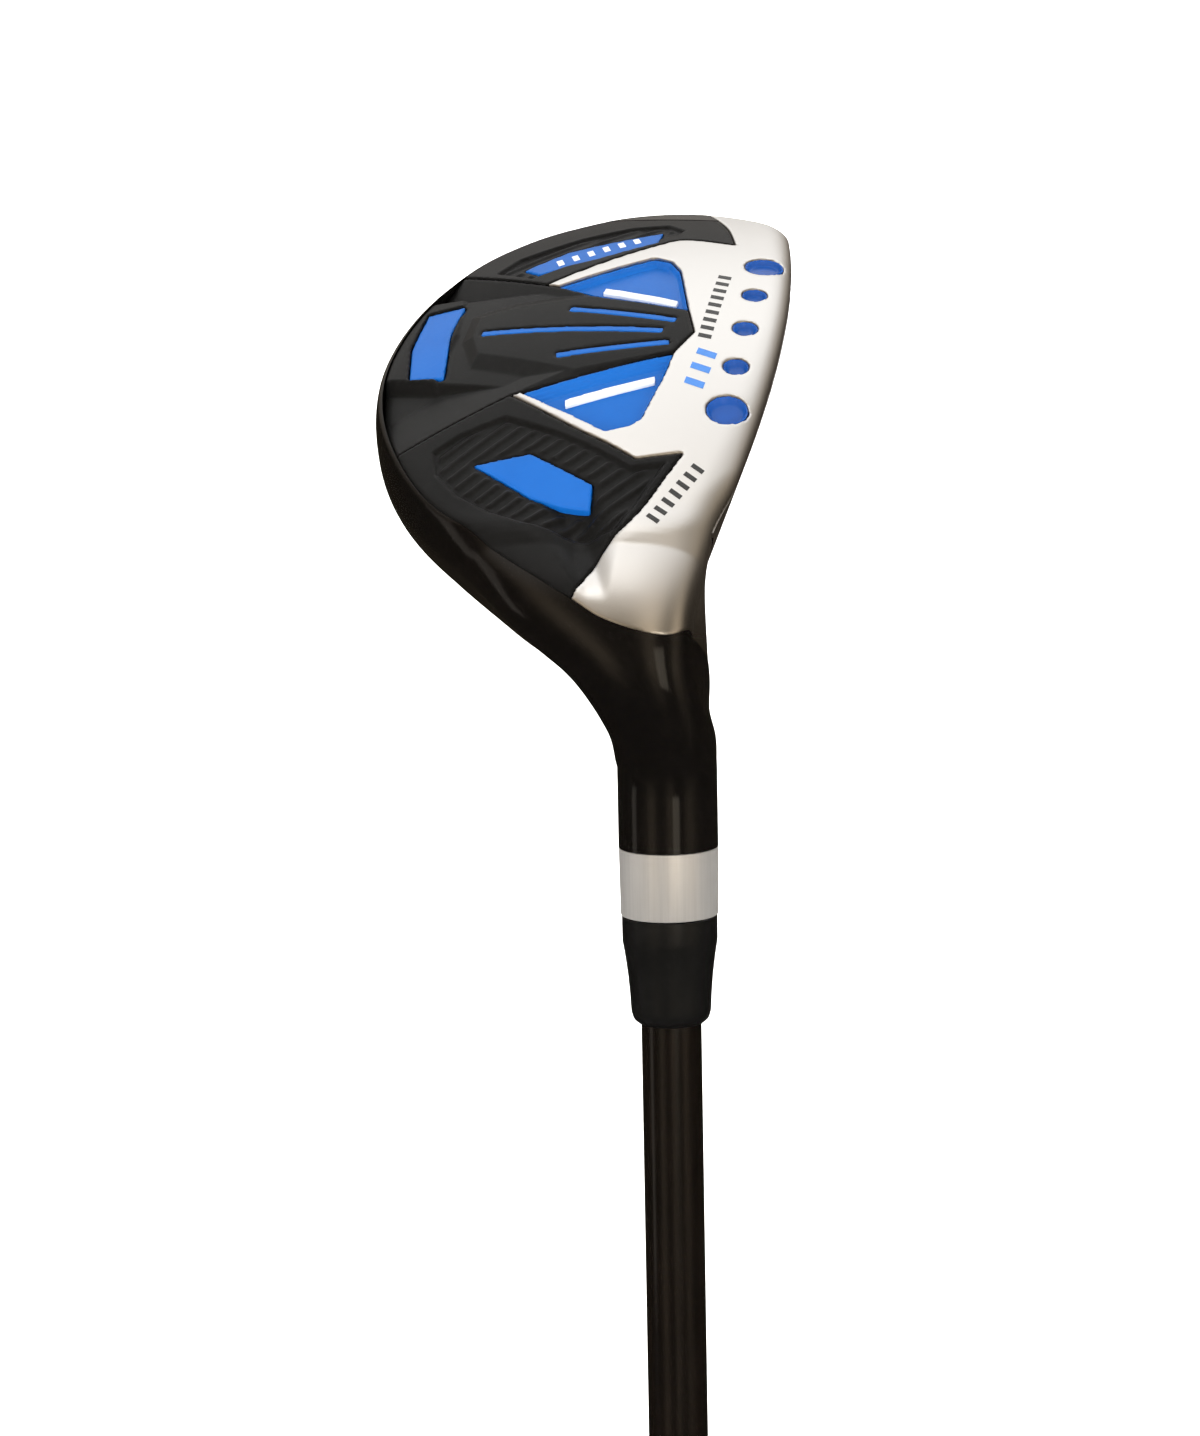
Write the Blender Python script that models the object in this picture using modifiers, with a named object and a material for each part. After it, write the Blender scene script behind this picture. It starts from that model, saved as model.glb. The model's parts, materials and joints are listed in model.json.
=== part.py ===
"""Right-handed hybrid golf club, standing on the end of its grip with the head at the top.

The world origin is the centre of the grip cap's flat end. +Z runs up the shaft to the head, and +X is the way
the ball goes. The head is modelled lying on its crown with its sole up, under an empty that turns it to the lie
angle: there X is forward, Y runs from heel to toe and Z points out of the sole. Head numbers are millimetres.
"""

import math

import bmesh
import bpy
import numpy as np
from mathutils import Matrix, Vector

MM = 0.001
GAP = 0.3

# Club
CLUB_LENGTH = 1016.0  # end of the grip to the ground line, along the shaft
LIE = 60.0
LOFT = 22.0

# Neck: distances are measured down the shaft axis from the ground line
HOSEL_RADIUS = 7.0
HOSEL_TOP = 51.3
RING_TOP = 61.1
FERRULE_TOP = 76.6
BORE_RADIUS = 4.55
BORE_END = 22.0

# Shaft and grip: heights above the end of the grip
TIP_RADIUS = 4.25
BUTT_RADIUS = 7.6
SHAFT_WALL = 1.3
TIP_PARALLEL = 150.0
GRIP_LENGTH = 268.0
CAP_THICKNESS = 6.0
TAPE_THICKNESS = 0.25

# Sole: camber radii and lowest point, and the thickness of the casting
CAMBER_Y, LOW_Y = 136.0, 38.0
CAMBER_X, LOW_X = 160.0, -12.0
WALL = 2.2
HEEL_LIFT_START, HEEL_LIFT = 3.0, 40.0  # y where the sole starts to lift at the heel, and how gently it does

# Face: where its plane meets the ground, and its bulge
FACE_X = 13.9
FACE_BULGE = 300.0
FACE_MIDDLE = 45.0
FACE_PLATE = 2.0
FACE_HEEL_END = 0.0
FACE_FLARE_START, FACE_FLARE = 2.0, 30.0
NECK_START = -12.0  # y where the face has run out and the neck is whole
CUT_END = -14.0  # y where the cut along the face stops
CUT_TOE, CUT_FRONT = 92.0, 45.0  # how far the cuts reach past the toe and the face
EDGE_DEPTH = 3.2  # how far the pieces of the sole reach down the sides

# Head sections, heel to toe: y, rear, front, crown height, widest height, underside, lower power, upper power,
# and how far forward the crown leans
HEAD_SECTIONS = (
    (-5.3, -28.5, 5.4, 33.1, 13.0, 6.8, 3.2, 2.0, 8.0),
    (4.0, -37.0, 8.2, 33.6, 12.0, 1.5, 3.0, 2.0, 6.2),
    (15.0, -43.5, 15.0, 35.0, 12.5, -3.0, 3.0, 2.2, 2.5),
    (28.0, -47.5, 20.0, 36.5, 13.5, -6.0, 3.0, 2.2, 0.0),
    (42.0, -47.0, 21.0, 37.0, 14.0, -7.0, 3.0, 2.2, 0.0),
    (56.0, -42.5, 20.0, 36.0, 14.0, -6.0, 3.0, 2.2, 0.0),
    (68.0, -35.2, 16.0, 33.0, 14.0, -4.0, 3.0, 2.2, 0.0),
    (76.0, -26.4, 10.0, 28.5, 14.0, -1.5, 2.8, 2.2, 0.0),
    (81.0, -17.6, 1.0, 23.5, 14.0, 3.0, 2.5, 2.2, 0.0),
    (83.5, -10.0, -7.0, 16.0, 14.0, 12.0, 2.2, 2.2, 0.0),
)

# Heel sections fan out from a hinge above the crown and hand over to the round hosel: angle, rear, front,
# then the distances from the hinge to the near side, the widest line and the far side, then as above
HINGE_Y, HINGE_HEIGHT = -5.3, 43.1
HEEL_SECTIONS = (
    (0.0, -28.5, 5.4, 10.0, 30.1, 36.3, 3.2, 2.0, 8.0),
    (15.0, -21.2, 4.6, 10.0, 28.5, 34.3, 2.8, 2.0, 8.0),
    (30.0, -12.2, 5.2, 10.0, 25.0, 31.5, 2.3, 2.0, 3.6),
    (45.0, -8.0, 6.9, 10.0, 19.5, 27.0, 2.1, 2.0, 0.8),
    (60.0, -HOSEL_RADIUS, HOSEL_RADIUS, 10.0, 17.0, 24.0, 2.0, 2.0, 0.0),
)
RING_POINTS = 32

# Sole layout, x and y
HEEL_BORDER = ((-25.5, 23.5), (-15.5, 16.2), (-10.0, 12.8), (-5.5, 9.8), (1.2, 11.4), (-4.2, -0.5), (-7.5, -5.0),
               (-12.0, -14.0))
TOE_BORDER = ((-24.8, 53.0), (-11.0, 65.3), (-6.0, 68.6), (1.8, 67.2), (-4.5, 82.0))
HEEL_POCKET = ((-24.1, 23.9), (-10.5, 15.1), (-7.2, 16.3), (-5.7, 17.6), (-3.6, 26.9), (-2.8, 32.9))
TOE_POCKET = ((-2.2, 44.5), (-5.0, 56.5), (-6.8, 59.8), (-9.6, 61.2), (-22.9, 52.2), (-15.1, 47.9))
SPEAR_POINT = (-0.5, 38.2)
HEEL_EDGE = ((6.2, -9.0), (4.8, -14.0), (2.2, -17.2), (-1.9, -17.8), (-7.6, -16.4))
HEEL_CORNER = ((-15.6, -11.8), (-21.6, -7.6))
HEEL_PANEL_Y = (-2.0, 12.4)  # where each black panel starts and ends along the rear edge
CENTRE_PANEL_Y = (14.0, 58.4)
TOE_PANEL_Y = (60.4, 79.0)
REAR_HEEL_Y, REAR_TOE_Y = 13.2, 59.4
TOE_CORNER = (-4.5, 79.6)
FRONT_FRAME = ((12.0, -4.0), (30.0, -4.0), (30.0, 95.0), (-4.5, 95.0))
RIM = 0.8

HEEL_WINDOW = ((-28.8, 9.8), (-19.7, 3.1), (-15.2, 1.3), (-10.9, 0.6), (-11.1, 5.2), (-20.8, 11.3))
TOE_WINDOW = ((-29.4, 59.6), (-26.7, 57.5), (-18.1, 61.7), (-10.2, 67.6), (-10.2, 72.6), (-23.6, 65.5))
REAR_WINDOW = ((-43.2, 38.7), (-42.1, 30.7), (-36.7, 29.8), (-37.6, 41.4), (-36.9, 49.3), (-42.4, 48.3))
HEEL_BAR = ((-17.2, 21.2), (-4.8, 26.5), (-5.0, 27.9), (-17.4, 22.6))
TOE_BAR = ((-15.9, 50.3), (-4.4, 46.3), (-4.2, 47.9), (-15.7, 51.9))
STRIPES = (((-19.9, 44.7), (-3.6, 41.3)), ((-32.5, 39.7), (-5.1, 38.4)), ((-20.1, 32.3), (-3.8, 35.4)))
STRIPE_WIDTH = 0.9

UNDER_HEAD, OVER_HEAD = -60.0, 20.0  # heights that clear the head when an upright block cuts it
OVER_SOLE = -6.0  # depth, so above the sole, where a cut into it starts
RECESS_DEPTH, ENAMEL_TOP, ENAMEL_BOTTOM = 0.9, 0.1, 0.6
POCKET_DEPTH, BAR_TOP, BAR_BOTTOM = 1.3, 0.2, 1.0
DOT_FIRST = (6.3, 20.6)
DOT_PITCH = (0.2, 9.75)
DOT_RADII = (3.0, 1.9, 1.9, 1.9, 2.9)
DOT_DEPTH = 1.1

CROWN_OUTLINE = ((-5.0, 6.0), (-3.0, 40.0), (-6.0, 66.0), (-14.0, 74.0), (-27.0, 66.0), (-36.0, 50.0),
                 (-38.0, 34.0), (-32.0, 17.0), (-22.0, 6.0))
CROWN_UNDERSIDE = -20.0
REAR_WEIGHT_PLACE, REAR_WEIGHT_RADIUS, REAR_WEIGHT_HEIGHT = (-31.0, 38.0, -5.2), 6.5, 6.0

# Colours: base colour, metallic, roughness
BLACK_GLOSS = ((0.010, 0.010, 0.011), 0.0, 0.08)
BLACK_SATIN = ((0.016, 0.016, 0.017), 0.0, 0.45)
SILVER_SATIN = ((0.72, 0.71, 0.69), 1.0, 0.34)
SILVER_BRUSHED = ((0.66, 0.65, 0.63), 1.0, 0.28)
BLUE_ENAMEL = ((0.022, 0.145, 0.58), 0.0, 0.30)
WHITE_ENAMEL = ((0.80, 0.82, 0.84), 0.0, 0.35)
STEEL = ((0.45, 0.44, 0.42), 1.0, 0.45)
CORK = ((0.42, 0.27, 0.15), 0.0, 0.85)
PAPER = ((0.62, 0.57, 0.46), 0.0, 0.80)
RUBBER = ((0.018, 0.018, 0.019), 0.0, 0.70)

for old in list(bpy.data.objects):
    bpy.data.objects.remove(old)
parts = bpy.data.collections.new("hybrid_club")
helpers = bpy.data.collections.new("cutters")
bpy.context.scene.collection.children.link(parts)
bpy.context.scene.collection.children.link(helpers)

head_frame = bpy.data.objects.new("head_frame", None)
head_frame.location = (0, 0, CLUB_LENGTH * MM)
head_frame.rotation_euler = (math.radians(90 - LIE), 0, 0)
parts.objects.link(head_frame)
bpy.context.view_layer.update()


# Finding places on the head


def sole_height(x, y):
    """Height of the cambered sole at x and y, zero at its lowest point when the club is played."""
    return -((y - LOW_Y) ** 2 / (2 * CAMBER_Y) + (x - LOW_X) ** 2 / (2 * CAMBER_X))


def sole_cut_height(x, y):
    """The sole, lifted clear of the heel so that the heel's own round surface stays."""
    return sole_height(x, y) + max(0.0, HEEL_LIFT_START - y) ** 2 / HEEL_LIFT


def face_x(y, z):
    """Face surface: loft, bulge, and a flare at the heel that leaves the neck whole."""
    flare = max(0.0, FACE_FLARE_START - y) ** 2 / FACE_FLARE + max(0.0, NECK_START - y) ** 2
    return FACE_X + math.tan(math.radians(LOFT)) * z - (y - FACE_MIDDLE) ** 2 / (2 * FACE_BULGE) + flare


def blend(rows, position):
    """The values of a table of sections at any position, on a smooth curve through its rows."""
    rows = np.array(rows)
    keys, values = rows[:, 0], rows[:, 1:]
    slopes = np.gradient(values, keys, axis=0)
    i = int(np.clip(np.searchsorted(keys, position) - 1, 0, len(keys) - 2))
    step = keys[i + 1] - keys[i]
    t = (position - keys[i]) / step
    start = values[i] * (2 * t**3 - 3 * t**2 + 1) + slopes[i] * step * (t**3 - 2 * t**2 + t)
    return start + values[i + 1] * (3 * t**2 - 2 * t**3) + slopes[i + 1] * step * (t**3 - t**2)


def oval(rear, front, top, middle, bottom, lower_power, upper_power, lean):
    """Closed section with its own reach each way, squarer the higher its powers. Its top leans forward."""
    points = []
    for i in range(RING_POINTS):
        angle = 2 * math.pi * i / RING_POINTS
        power = 2 / (upper_power if i <= RING_POINTS / 2 else lower_power)
        across = math.copysign(abs(math.cos(angle)) ** power, math.cos(angle))
        up = math.copysign(abs(math.sin(angle)) ** power, math.sin(angle))
        reach = top - middle if up >= 0 else middle - bottom
        x = (rear + front) / 2 + across * (front - rear) / 2 + lean * max(0.0, up)
        points.append((x, middle + up * reach))
    return points


def sole_edge(y, inset):
    """Rear edge of the sole at y, moved in by inset: where the section crosses the sole's height."""
    rear, front, _, middle, bottom, power = blend(HEAD_SECTIONS, y)[:6]
    half = (front - rear) / 2
    x = rear
    for _ in range(6):
        depth = (middle + sole_height(x, y)) / (middle - bottom)
        x = (rear + front) / 2 - half * (1 - depth**power) ** (1 / power)
    return x + inset, y


def rear_points(start, end, inset, count):
    """Points along the rear edge of the sole between two y values."""
    return [sole_edge(y, inset) for y in np.linspace(start, end, count)]


# Modelling helpers


def material(name, colour, metallic, roughness):
    made = bpy.data.materials.new(name)
    made.use_nodes = True
    shader = made.node_tree.nodes["Principled BSDF"]
    shader.inputs["Base Color"].default_value = (*colour, 1)
    shader.inputs["Metallic"].default_value = metallic
    shader.inputs["Roughness"].default_value = roughness
    return made


def part(obj, finish, on_head=True):
    """Makes an object a sub-part: its material, its collection and, on the head, its parent."""
    for collection in list(obj.users_collection):
        collection.objects.unlink(obj)
    parts.objects.link(obj)
    obj.hide_render = False
    obj.display_type = "TEXTURED"
    obj.data.materials.clear()
    obj.data.materials.append(material(obj.name, *finish))
    if on_head:
        obj.parent = head_frame
    obj.data.shade_smooth()
    obj.data.set_sharp_from_angle(angle=math.radians(30))
    return obj


def helper(obj, on_head=True):
    """Makes an object a cutter or a guide."""
    for collection in list(obj.users_collection):
        collection.objects.unlink(obj)
    helpers.objects.link(obj)
    obj.hide_render = True
    obj.display_type = "WIRE"
    if on_head:
        obj.parent = head_frame
    return obj


def object_from(bm, name):
    mesh = bpy.data.meshes.new(name)
    bmesh.ops.recalc_face_normals(bm, faces=bm.faces)
    bmesh.ops.scale(bm, vec=(MM, MM, MM), verts=bm.verts)
    bm.to_mesh(mesh)
    bm.free()
    obj = bpy.data.objects.new(name, mesh)
    helpers.objects.link(obj)
    return obj


def copy_of(guide, name):
    """A new object that holds the guide's shape as its modifiers leave it."""
    graph = bpy.context.evaluated_depsgraph_get()
    mesh = bpy.data.meshes.new_from_object(guide.evaluated_get(graph))
    mesh.name = name
    return bpy.data.objects.new(name, mesh)


def boolean(obj, operation, other):
    modifier = obj.modifiers.new(other.name, "BOOLEAN")
    modifier.operation = operation
    modifier.solver = "EXACT"
    modifier.object = other
    return obj


def prism(name, outline, low, high):
    """Upright block with this outline, from a filled curve."""
    curve = bpy.data.curves.new(name, "CURVE")
    curve.dimensions = "2D"
    curve.fill_mode = "BOTH"
    curve.extrude = (high - low) / 2 * MM
    spline = curve.splines.new("POLY")
    spline.points.add(len(outline) - 1)
    for point, (x, y) in zip(spline.points, outline):
        point.co = (x * MM, y * MM, 0, 1)
    spline.use_cyclic_u = True
    drawn = bpy.data.objects.new(name + "_curve", curve)
    helpers.objects.link(drawn)
    bpy.context.view_layer.update()
    mesh = bpy.data.meshes.new_from_object(drawn.evaluated_get(bpy.context.evaluated_depsgraph_get()))
    bpy.data.objects.remove(drawn)
    bm = bmesh.new()
    bm.from_mesh(mesh)
    bmesh.ops.remove_doubles(bm, verts=bm.verts, dist=0.001 * MM)
    bmesh.ops.translate(bm, vec=(0, 0, (low + high) / 2 * MM), verts=bm.verts)
    bmesh.ops.recalc_face_normals(bm, faces=bm.faces)
    bm.to_mesh(mesh)
    bm.free()
    return helper(bpy.data.objects.new(name, mesh))


def height_block(name, corners, cells, lower, upper):
    """Block over a rectangle whose underside and top follow two height functions of x and y."""
    (x0, y0), (x1, y1) = corners
    bm = bmesh.new()
    bmesh.ops.create_grid(bm, x_segments=cells[0], y_segments=cells[1], size=0.5)
    stretch = Matrix.Translation(((x0 + x1) / 2, (y0 + y1) / 2, 0)) @ Matrix.Diagonal((x1 - x0, y1 - y0, 1, 1))
    bm.transform(stretch)
    base = list(bm.verts)
    made = bmesh.ops.extrude_face_region(bm, geom=list(bm.faces) + list(bm.edges) + base)["geom"]
    top = [item for item in made if isinstance(item, bmesh.types.BMVert)]
    for vert in base:
        vert.co.z = lower(vert.co.x, vert.co.y)
    for vert in top:
        vert.co.z = upper(vert.co.x, vert.co.y)
    return helper(object_from(bm, name))


def grown(outline, distance):
    """Outline moved outwards by a distance (inwards if it is negative), corner by corner."""
    points = [Vector(point) for point in outline]
    area = sum(a.x * b.y - a.y * b.x for a, b in zip(points, points[1:] + points[:1]))
    side = math.copysign(1, area)
    moved = []
    for before, here, after in zip(points[-1:] + points[:-1], points, points[1:] + points[:1]):
        first = (here - before).normalized()
        second = (after - here).normalized()
        normal_in = Vector((first.y, -first.x)) * side
        normal_out = Vector((second.y, -second.x)) * side
        corner = (normal_in + normal_out).normalized()
        moved.append(tuple(here + corner * distance / max(0.35, corner.dot(normal_in))))
    return moved


def layer(name, outline, top, bottom, cell=4.0):
    """Piece of the sole between two depths under its surface, cut to an outline."""
    low = np.min(outline, axis=0) - 1.5
    high = np.max(outline, axis=0) + 1.5
    cells = [max(2, round(side / cell)) for side in high - low]
    block = height_block(name + "_layer", (low, high), cells, lambda x, y: sole_height(x, y) - bottom,
                         lambda x, y: sole_height(x, y) - top)
    boolean(block, "INTERSECT", prism(name + "_outline", outline, UNDER_HEAD, OVER_HEAD))
    return block


def layer_part(name, outline, top, bottom, finish):
    block = layer(name, outline, top, bottom)
    block.name = name
    return part(block, finish)


def rounded(outline, passes=2):
    """Closed outline with its corners cut off again and again, which rounds them."""
    points = [Vector(point) for point in outline]
    for _ in range(passes):
        pairs = zip(points, points[1:] + points[:1])
        points = [point for a, b in pairs for point in (a.lerp(b, 0.25), a.lerp(b, 0.75))]
    return [tuple(point) for point in points]


def turned(name, profile, finish, steps=32):
    """Round piece on the shaft axis. The profile is (radius, height) down its outer side, then up its bore."""
    bm = bmesh.new()
    verts = [bm.verts.new((radius, 0, height)) for radius, height in profile]
    for a, b in zip(verts, verts[1:] + verts[:1]):
        bm.edges.new((a, b))
    obj = object_from(bm, name)
    screw = obj.modifiers.new("turn", "SCREW")
    screw.steps = steps
    screw.render_steps = steps
    screw.use_merge_vertices = True
    screw.merge_threshold = 0.00001
    return part(obj, finish, on_head=False)


# The head as guides: its outer shape, its hollow, and the blocks that split it into pieces


def head_rings(inset, with_neck):
    """Section rings from toe to heel, as (x, y, z) with the sole up."""
    rings = []
    toe_stations = list(np.arange(83.4 - 1.6 * inset, 75, -1.4))
    heel_stations = list(np.arange(10, -4, -2.2)) if with_neck else [8, 3]
    for y in toe_stations + list(np.arange(73, 12, -4.5)) + heel_stations:
        rear, front, top, middle, bottom, *shape = blend(HEAD_SECTIONS, y + (inset if y > 40 else 0))
        shell = oval(rear + inset, front - inset, top - inset, middle, bottom + inset, *shape)
        rings.append([(x, y, -height) for x, height in shell])
    if not with_neck:
        return rings
    for angle in np.linspace(0, 60, 13):
        rear, front, near, middle, far, *shape = blend(HEEL_SECTIONS, angle)
        sine, cosine = math.sin(math.radians(angle)), math.cos(math.radians(angle))
        fan = oval(rear, front, -near, -middle, -far, *shape)
        rings.append([(x, HINGE_Y + out * sine, -HINGE_HEIGHT - out * cosine) for x, out in fan])
    toward_heel, upward = math.cos(math.radians(LIE)), math.sin(math.radians(LIE))
    straight = HOSEL_TOP - (HINGE_HEIGHT * upward - HINGE_Y * toward_heel)
    rings.append([(x, y - straight * toward_heel, z - straight * upward) for x, y, z in rings[-1]])
    return rings


def loft(name, rings):
    """Closed skin over rings of the same number of points, which differ in shape."""
    bm = bmesh.new()
    loops = [[bm.verts.new(point) for point in ring] for ring in rings]
    for first, second in zip(loops, loops[1:]):
        for i in range(RING_POINTS):
            j = (i + 1) % RING_POINTS
            bm.faces.new((first[i], first[j], second[j], second[i]))
    bm.faces.new(loops[0])
    bm.faces.new(loops[-1])
    return helper(object_from(bm, name))


def face_block(name, depth, heel_end):
    """Everything in front of the face surface, or of a surface that lies deeper."""
    bm = bmesh.new()
    bmesh.ops.create_grid(bm, x_segments=8, y_segments=22, size=0.5)
    middle, length = (heel_end + CUT_TOE) / 2, CUT_TOE - heel_end
    bm.transform(Matrix.Translation((0, middle, -20)) @ Matrix.Diagonal((1, length, 1, 1))
                 @ Matrix.Rotation(math.radians(90), 4, "Y") @ Matrix.Diagonal((60, 1, 1, 1)))
    base = list(bm.verts)
    made = bmesh.ops.extrude_face_region(bm, geom=list(bm.faces) + list(bm.edges) + base)["geom"]
    for item in made:
        if isinstance(item, bmesh.types.BMVert):
            item.co.x = CUT_FRONT
    for vert in base:
        vert.co.x = face_x(vert.co.y, vert.co.z) - depth
    return helper(object_from(bm, name))


def sole_block(name, drop, cells):
    """Everything beyond the sole surface, or beyond a surface that lies deeper."""
    return height_block(name, ((-62, -12), (32, CUT_TOE)), cells, lambda x, y: sole_cut_height(x, y) - drop,
                        lambda x, y: OVER_HEAD + 5)


outer = loft("outer_shape", head_rings(0, True))
boolean(outer, "DIFFERENCE", sole_block("sole_limit", 0, (14, 20)))
boolean(outer, "DIFFERENCE", face_block("face_limit", 0, CUT_END))
hollow = loft("hollow_shape", head_rings(WALL, False))
boolean(hollow, "DIFFERENCE", sole_block("hollow_limit", WALL, (14, 20)))
boolean(hollow, "DIFFERENCE", face_block("hollow_front", WALL, CUT_END))

# Outlines of the pieces of the sole, one beside the other
heel_rear = [*HEEL_CORNER, *rear_points(*HEEL_PANEL_Y, RIM, 5)]
middle_rear = rear_points(*CENTRE_PANEL_Y, RIM, 10)
toe_rear = rear_points(*TOE_PANEL_Y, RIM, 8)
rear_heel_corner = sole_edge(REAR_HEEL_Y, RIM)
rear_toe_corner = sole_edge(REAR_TOE_Y, RIM)

silver_outline = [*HEEL_BORDER, *HEEL_EDGE[::-1], *FRONT_FRAME, *TOE_BORDER[::-1],
                  *TOE_POCKET[4:1:-1], TOE_POCKET[1], TOE_POCKET[0], SPEAR_POINT, *HEEL_POCKET[::-1]]
heel_outline = [*HEEL_BORDER, *heel_rear, rear_heel_corner]
toe_outline = [*TOE_BORDER[:-1], TOE_CORNER, *toe_rear[::-1], rear_toe_corner]
centre_outline = [SPEAR_POINT, TOE_POCKET[0], TOE_POCKET[5], TOE_POCKET[4], TOE_BORDER[0], rear_toe_corner,
                  *middle_rear[::-1], rear_heel_corner, HEEL_BORDER[0], HEEL_POCKET[0], HEEL_POCKET[5]]
opening_outline = [TOE_CORNER, *toe_rear[::-1], rear_toe_corner, *middle_rear[::-1], rear_heel_corner,
                   *heel_rear[::-1], HEEL_BORDER[-1], *HEEL_EDGE[::-1], *FRONT_FRAME]


def shell_piece(name, outline, finish):
    """Piece of the head's wall inside an outline of the sole."""
    obj = copy_of(outer, name)
    helpers.objects.link(obj)
    part(obj, finish)
    boolean(obj, "DIFFERENCE", hollow)
    return boolean(obj, "INTERSECT", layer(name, grown(outline, -GAP / 2), OVER_SOLE, EDGE_DEPTH))


def sole_plate():
    """Silver front of the sole, with the leading edge and a dimple for each dot."""
    plate = shell_piece("sole_plate", silver_outline, SILVER_SATIN)
    for number, radius in enumerate(DOT_RADII, 1):
        boolean(plate, "DIFFERENCE", dot_cutter(number, radius))
    return plate


def dot_place(number):
    x, y = (first + (number - 1) * pitch for first, pitch in zip(DOT_FIRST, DOT_PITCH))
    return x, y, sole_height(x, y)


def disc(name, radius, top, bottom, place):
    bm = bmesh.new()
    bmesh.ops.create_cone(bm, cap_ends=True, segments=24, radius1=radius, radius2=radius, depth=top - bottom)
    x, y, z = place
    bmesh.ops.translate(bm, vec=(x, y, z + (top + bottom) / 2), verts=bm.verts)
    return object_from(bm, name)


def dot_cutter(number, radius):
    return helper(disc(f"dimple_{number}", radius + GAP, 3, -DOT_DEPTH - GAP, dot_place(number)))


def sole_dot(number, radius):
    return part(disc(f"sole_dot_{number}", radius, -0.5, -DOT_DEPTH, dot_place(number)), BLUE_ENAMEL)


def head_body():
    """Black casting: skirt, heel and hosel, open at the sole, the face and the crown, and bored for the shaft."""
    obj = copy_of(outer, "head_body")
    helpers.objects.link(obj)
    part(obj, BLACK_GLOSS)
    boolean(obj, "DIFFERENCE", hollow)
    boolean(obj, "DIFFERENCE", layer("sole_opening", grown(opening_outline, GAP / 2), OVER_SOLE, EDGE_DEPTH + GAP))
    boolean(obj, "DIFFERENCE", face_block("face_opening", FACE_PLATE + GAP, FACE_HEEL_END - GAP))
    boolean(obj, "DIFFERENCE", prism("crown_opening", grown(rounded(CROWN_OUTLINE), GAP), UNDER_HEAD, CROWN_UNDERSIDE))
    bm = bmesh.new()
    bmesh.ops.create_cone(bm, cap_ends=True, segments=32, radius1=BORE_RADIUS, radius2=BORE_RADIUS, depth=50)
    bmesh.ops.translate(bm, vec=(0, 0, CLUB_LENGTH - BORE_END - 25), verts=bm.verts)
    return boolean(obj, "DIFFERENCE", helper(object_from(bm, "bore"), on_head=False))


def crown():
    obj = copy_of(outer, "crown")
    helpers.objects.link(obj)
    part(obj, BLACK_GLOSS)
    boolean(obj, "DIFFERENCE", hollow)
    return boolean(obj, "INTERSECT", prism("crown_outline", rounded(CROWN_OUTLINE), UNDER_HEAD, CROWN_UNDERSIDE))


def face_plate():
    """Hitting face, from the topline down to the front wall of the sole plate."""
    obj = copy_of(outer, "face_plate")
    helpers.objects.link(obj)
    part(obj, SILVER_SATIN)
    boolean(obj, "INTERSECT", face_block("face_slab", FACE_PLATE, FACE_HEEL_END))
    around = ((-30, CUT_END), (30, CUT_END), (30, CUT_TOE), (-30, CUT_TOE))
    foot = layer("face_foot", around, OVER_SOLE, EDGE_DEPTH + GAP)
    return boolean(obj, "DIFFERENCE", foot)


def panel(name, outline, window):
    """Black cover with a recess for its window."""
    obj = shell_piece(name, outline, BLACK_SATIN)
    return boolean(obj, "DIFFERENCE", layer(name + "_recess", grown(window, GAP), OVER_SOLE, RECESS_DEPTH))


def centre_panel():
    """Keel and rear block, with grooves for the stripes and a recess for the rear window."""
    obj = panel("centre_panel", centre_outline, REAR_WINDOW)
    for number, ends in enumerate(STRIPES, 1):
        boolean(obj, "DIFFERENCE", layer(f"groove_{number}", grown(stripe_outline(ends), GAP), OVER_SOLE, RECESS_DEPTH, 8.0))
    return obj


def stripe_outline(ends):
    start, end = Vector(ends[0]), Vector(ends[1])
    side = (end - start).orthogonal().normalized() * STRIPE_WIDTH / 2
    return [tuple(start + side), tuple(end + side), tuple(end - side), tuple(start - side)]


# Head

head_body()
crown()
face_plate()
sole_plate()
panel("heel_panel", heel_outline, HEEL_WINDOW)
panel("toe_panel", toe_outline, TOE_WINDOW)
centre_panel()
layer_part("heel_window", HEEL_WINDOW, ENAMEL_TOP, ENAMEL_BOTTOM, BLUE_ENAMEL)
layer_part("toe_window", TOE_WINDOW, ENAMEL_TOP, ENAMEL_BOTTOM, BLUE_ENAMEL)
layer_part("rear_window", REAR_WINDOW, ENAMEL_TOP, ENAMEL_BOTTOM, BLUE_ENAMEL)
layer_part("heel_pocket", grown(HEEL_POCKET, -GAP / 2), POCKET_DEPTH, WALL, BLUE_ENAMEL)
layer_part("toe_pocket", grown(TOE_POCKET, -GAP / 2), POCKET_DEPTH, WALL, BLUE_ENAMEL)
layer_part("heel_bar", HEEL_BAR, BAR_TOP, BAR_BOTTOM, WHITE_ENAMEL)
layer_part("toe_bar", TOE_BAR, BAR_TOP, BAR_BOTTOM, WHITE_ENAMEL)
for number, ends in enumerate(STRIPES, 1):
    layer_part(f"stripe_{number}", stripe_outline(ends), ENAMEL_TOP, ENAMEL_BOTTOM, BLUE_ENAMEL)
for number, radius in enumerate(DOT_RADII, 1):
    sole_dot(number, radius)
part(disc("rear_weight", REAR_WEIGHT_RADIUS, 0, -REAR_WEIGHT_HEIGHT, REAR_WEIGHT_PLACE), STEEL)

# Neck, shaft and grip, all turned about the shaft axis


def down(distance):
    """Height of a place measured down the shaft from the ground line."""
    return CLUB_LENGTH - distance


def shaft_radius(height):
    taper_top = down(TIP_PARALLEL)
    return TIP_RADIUS + (BUTT_RADIUS - TIP_RADIUS) * max(0.0, (taper_top - height) / taper_top)


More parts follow.
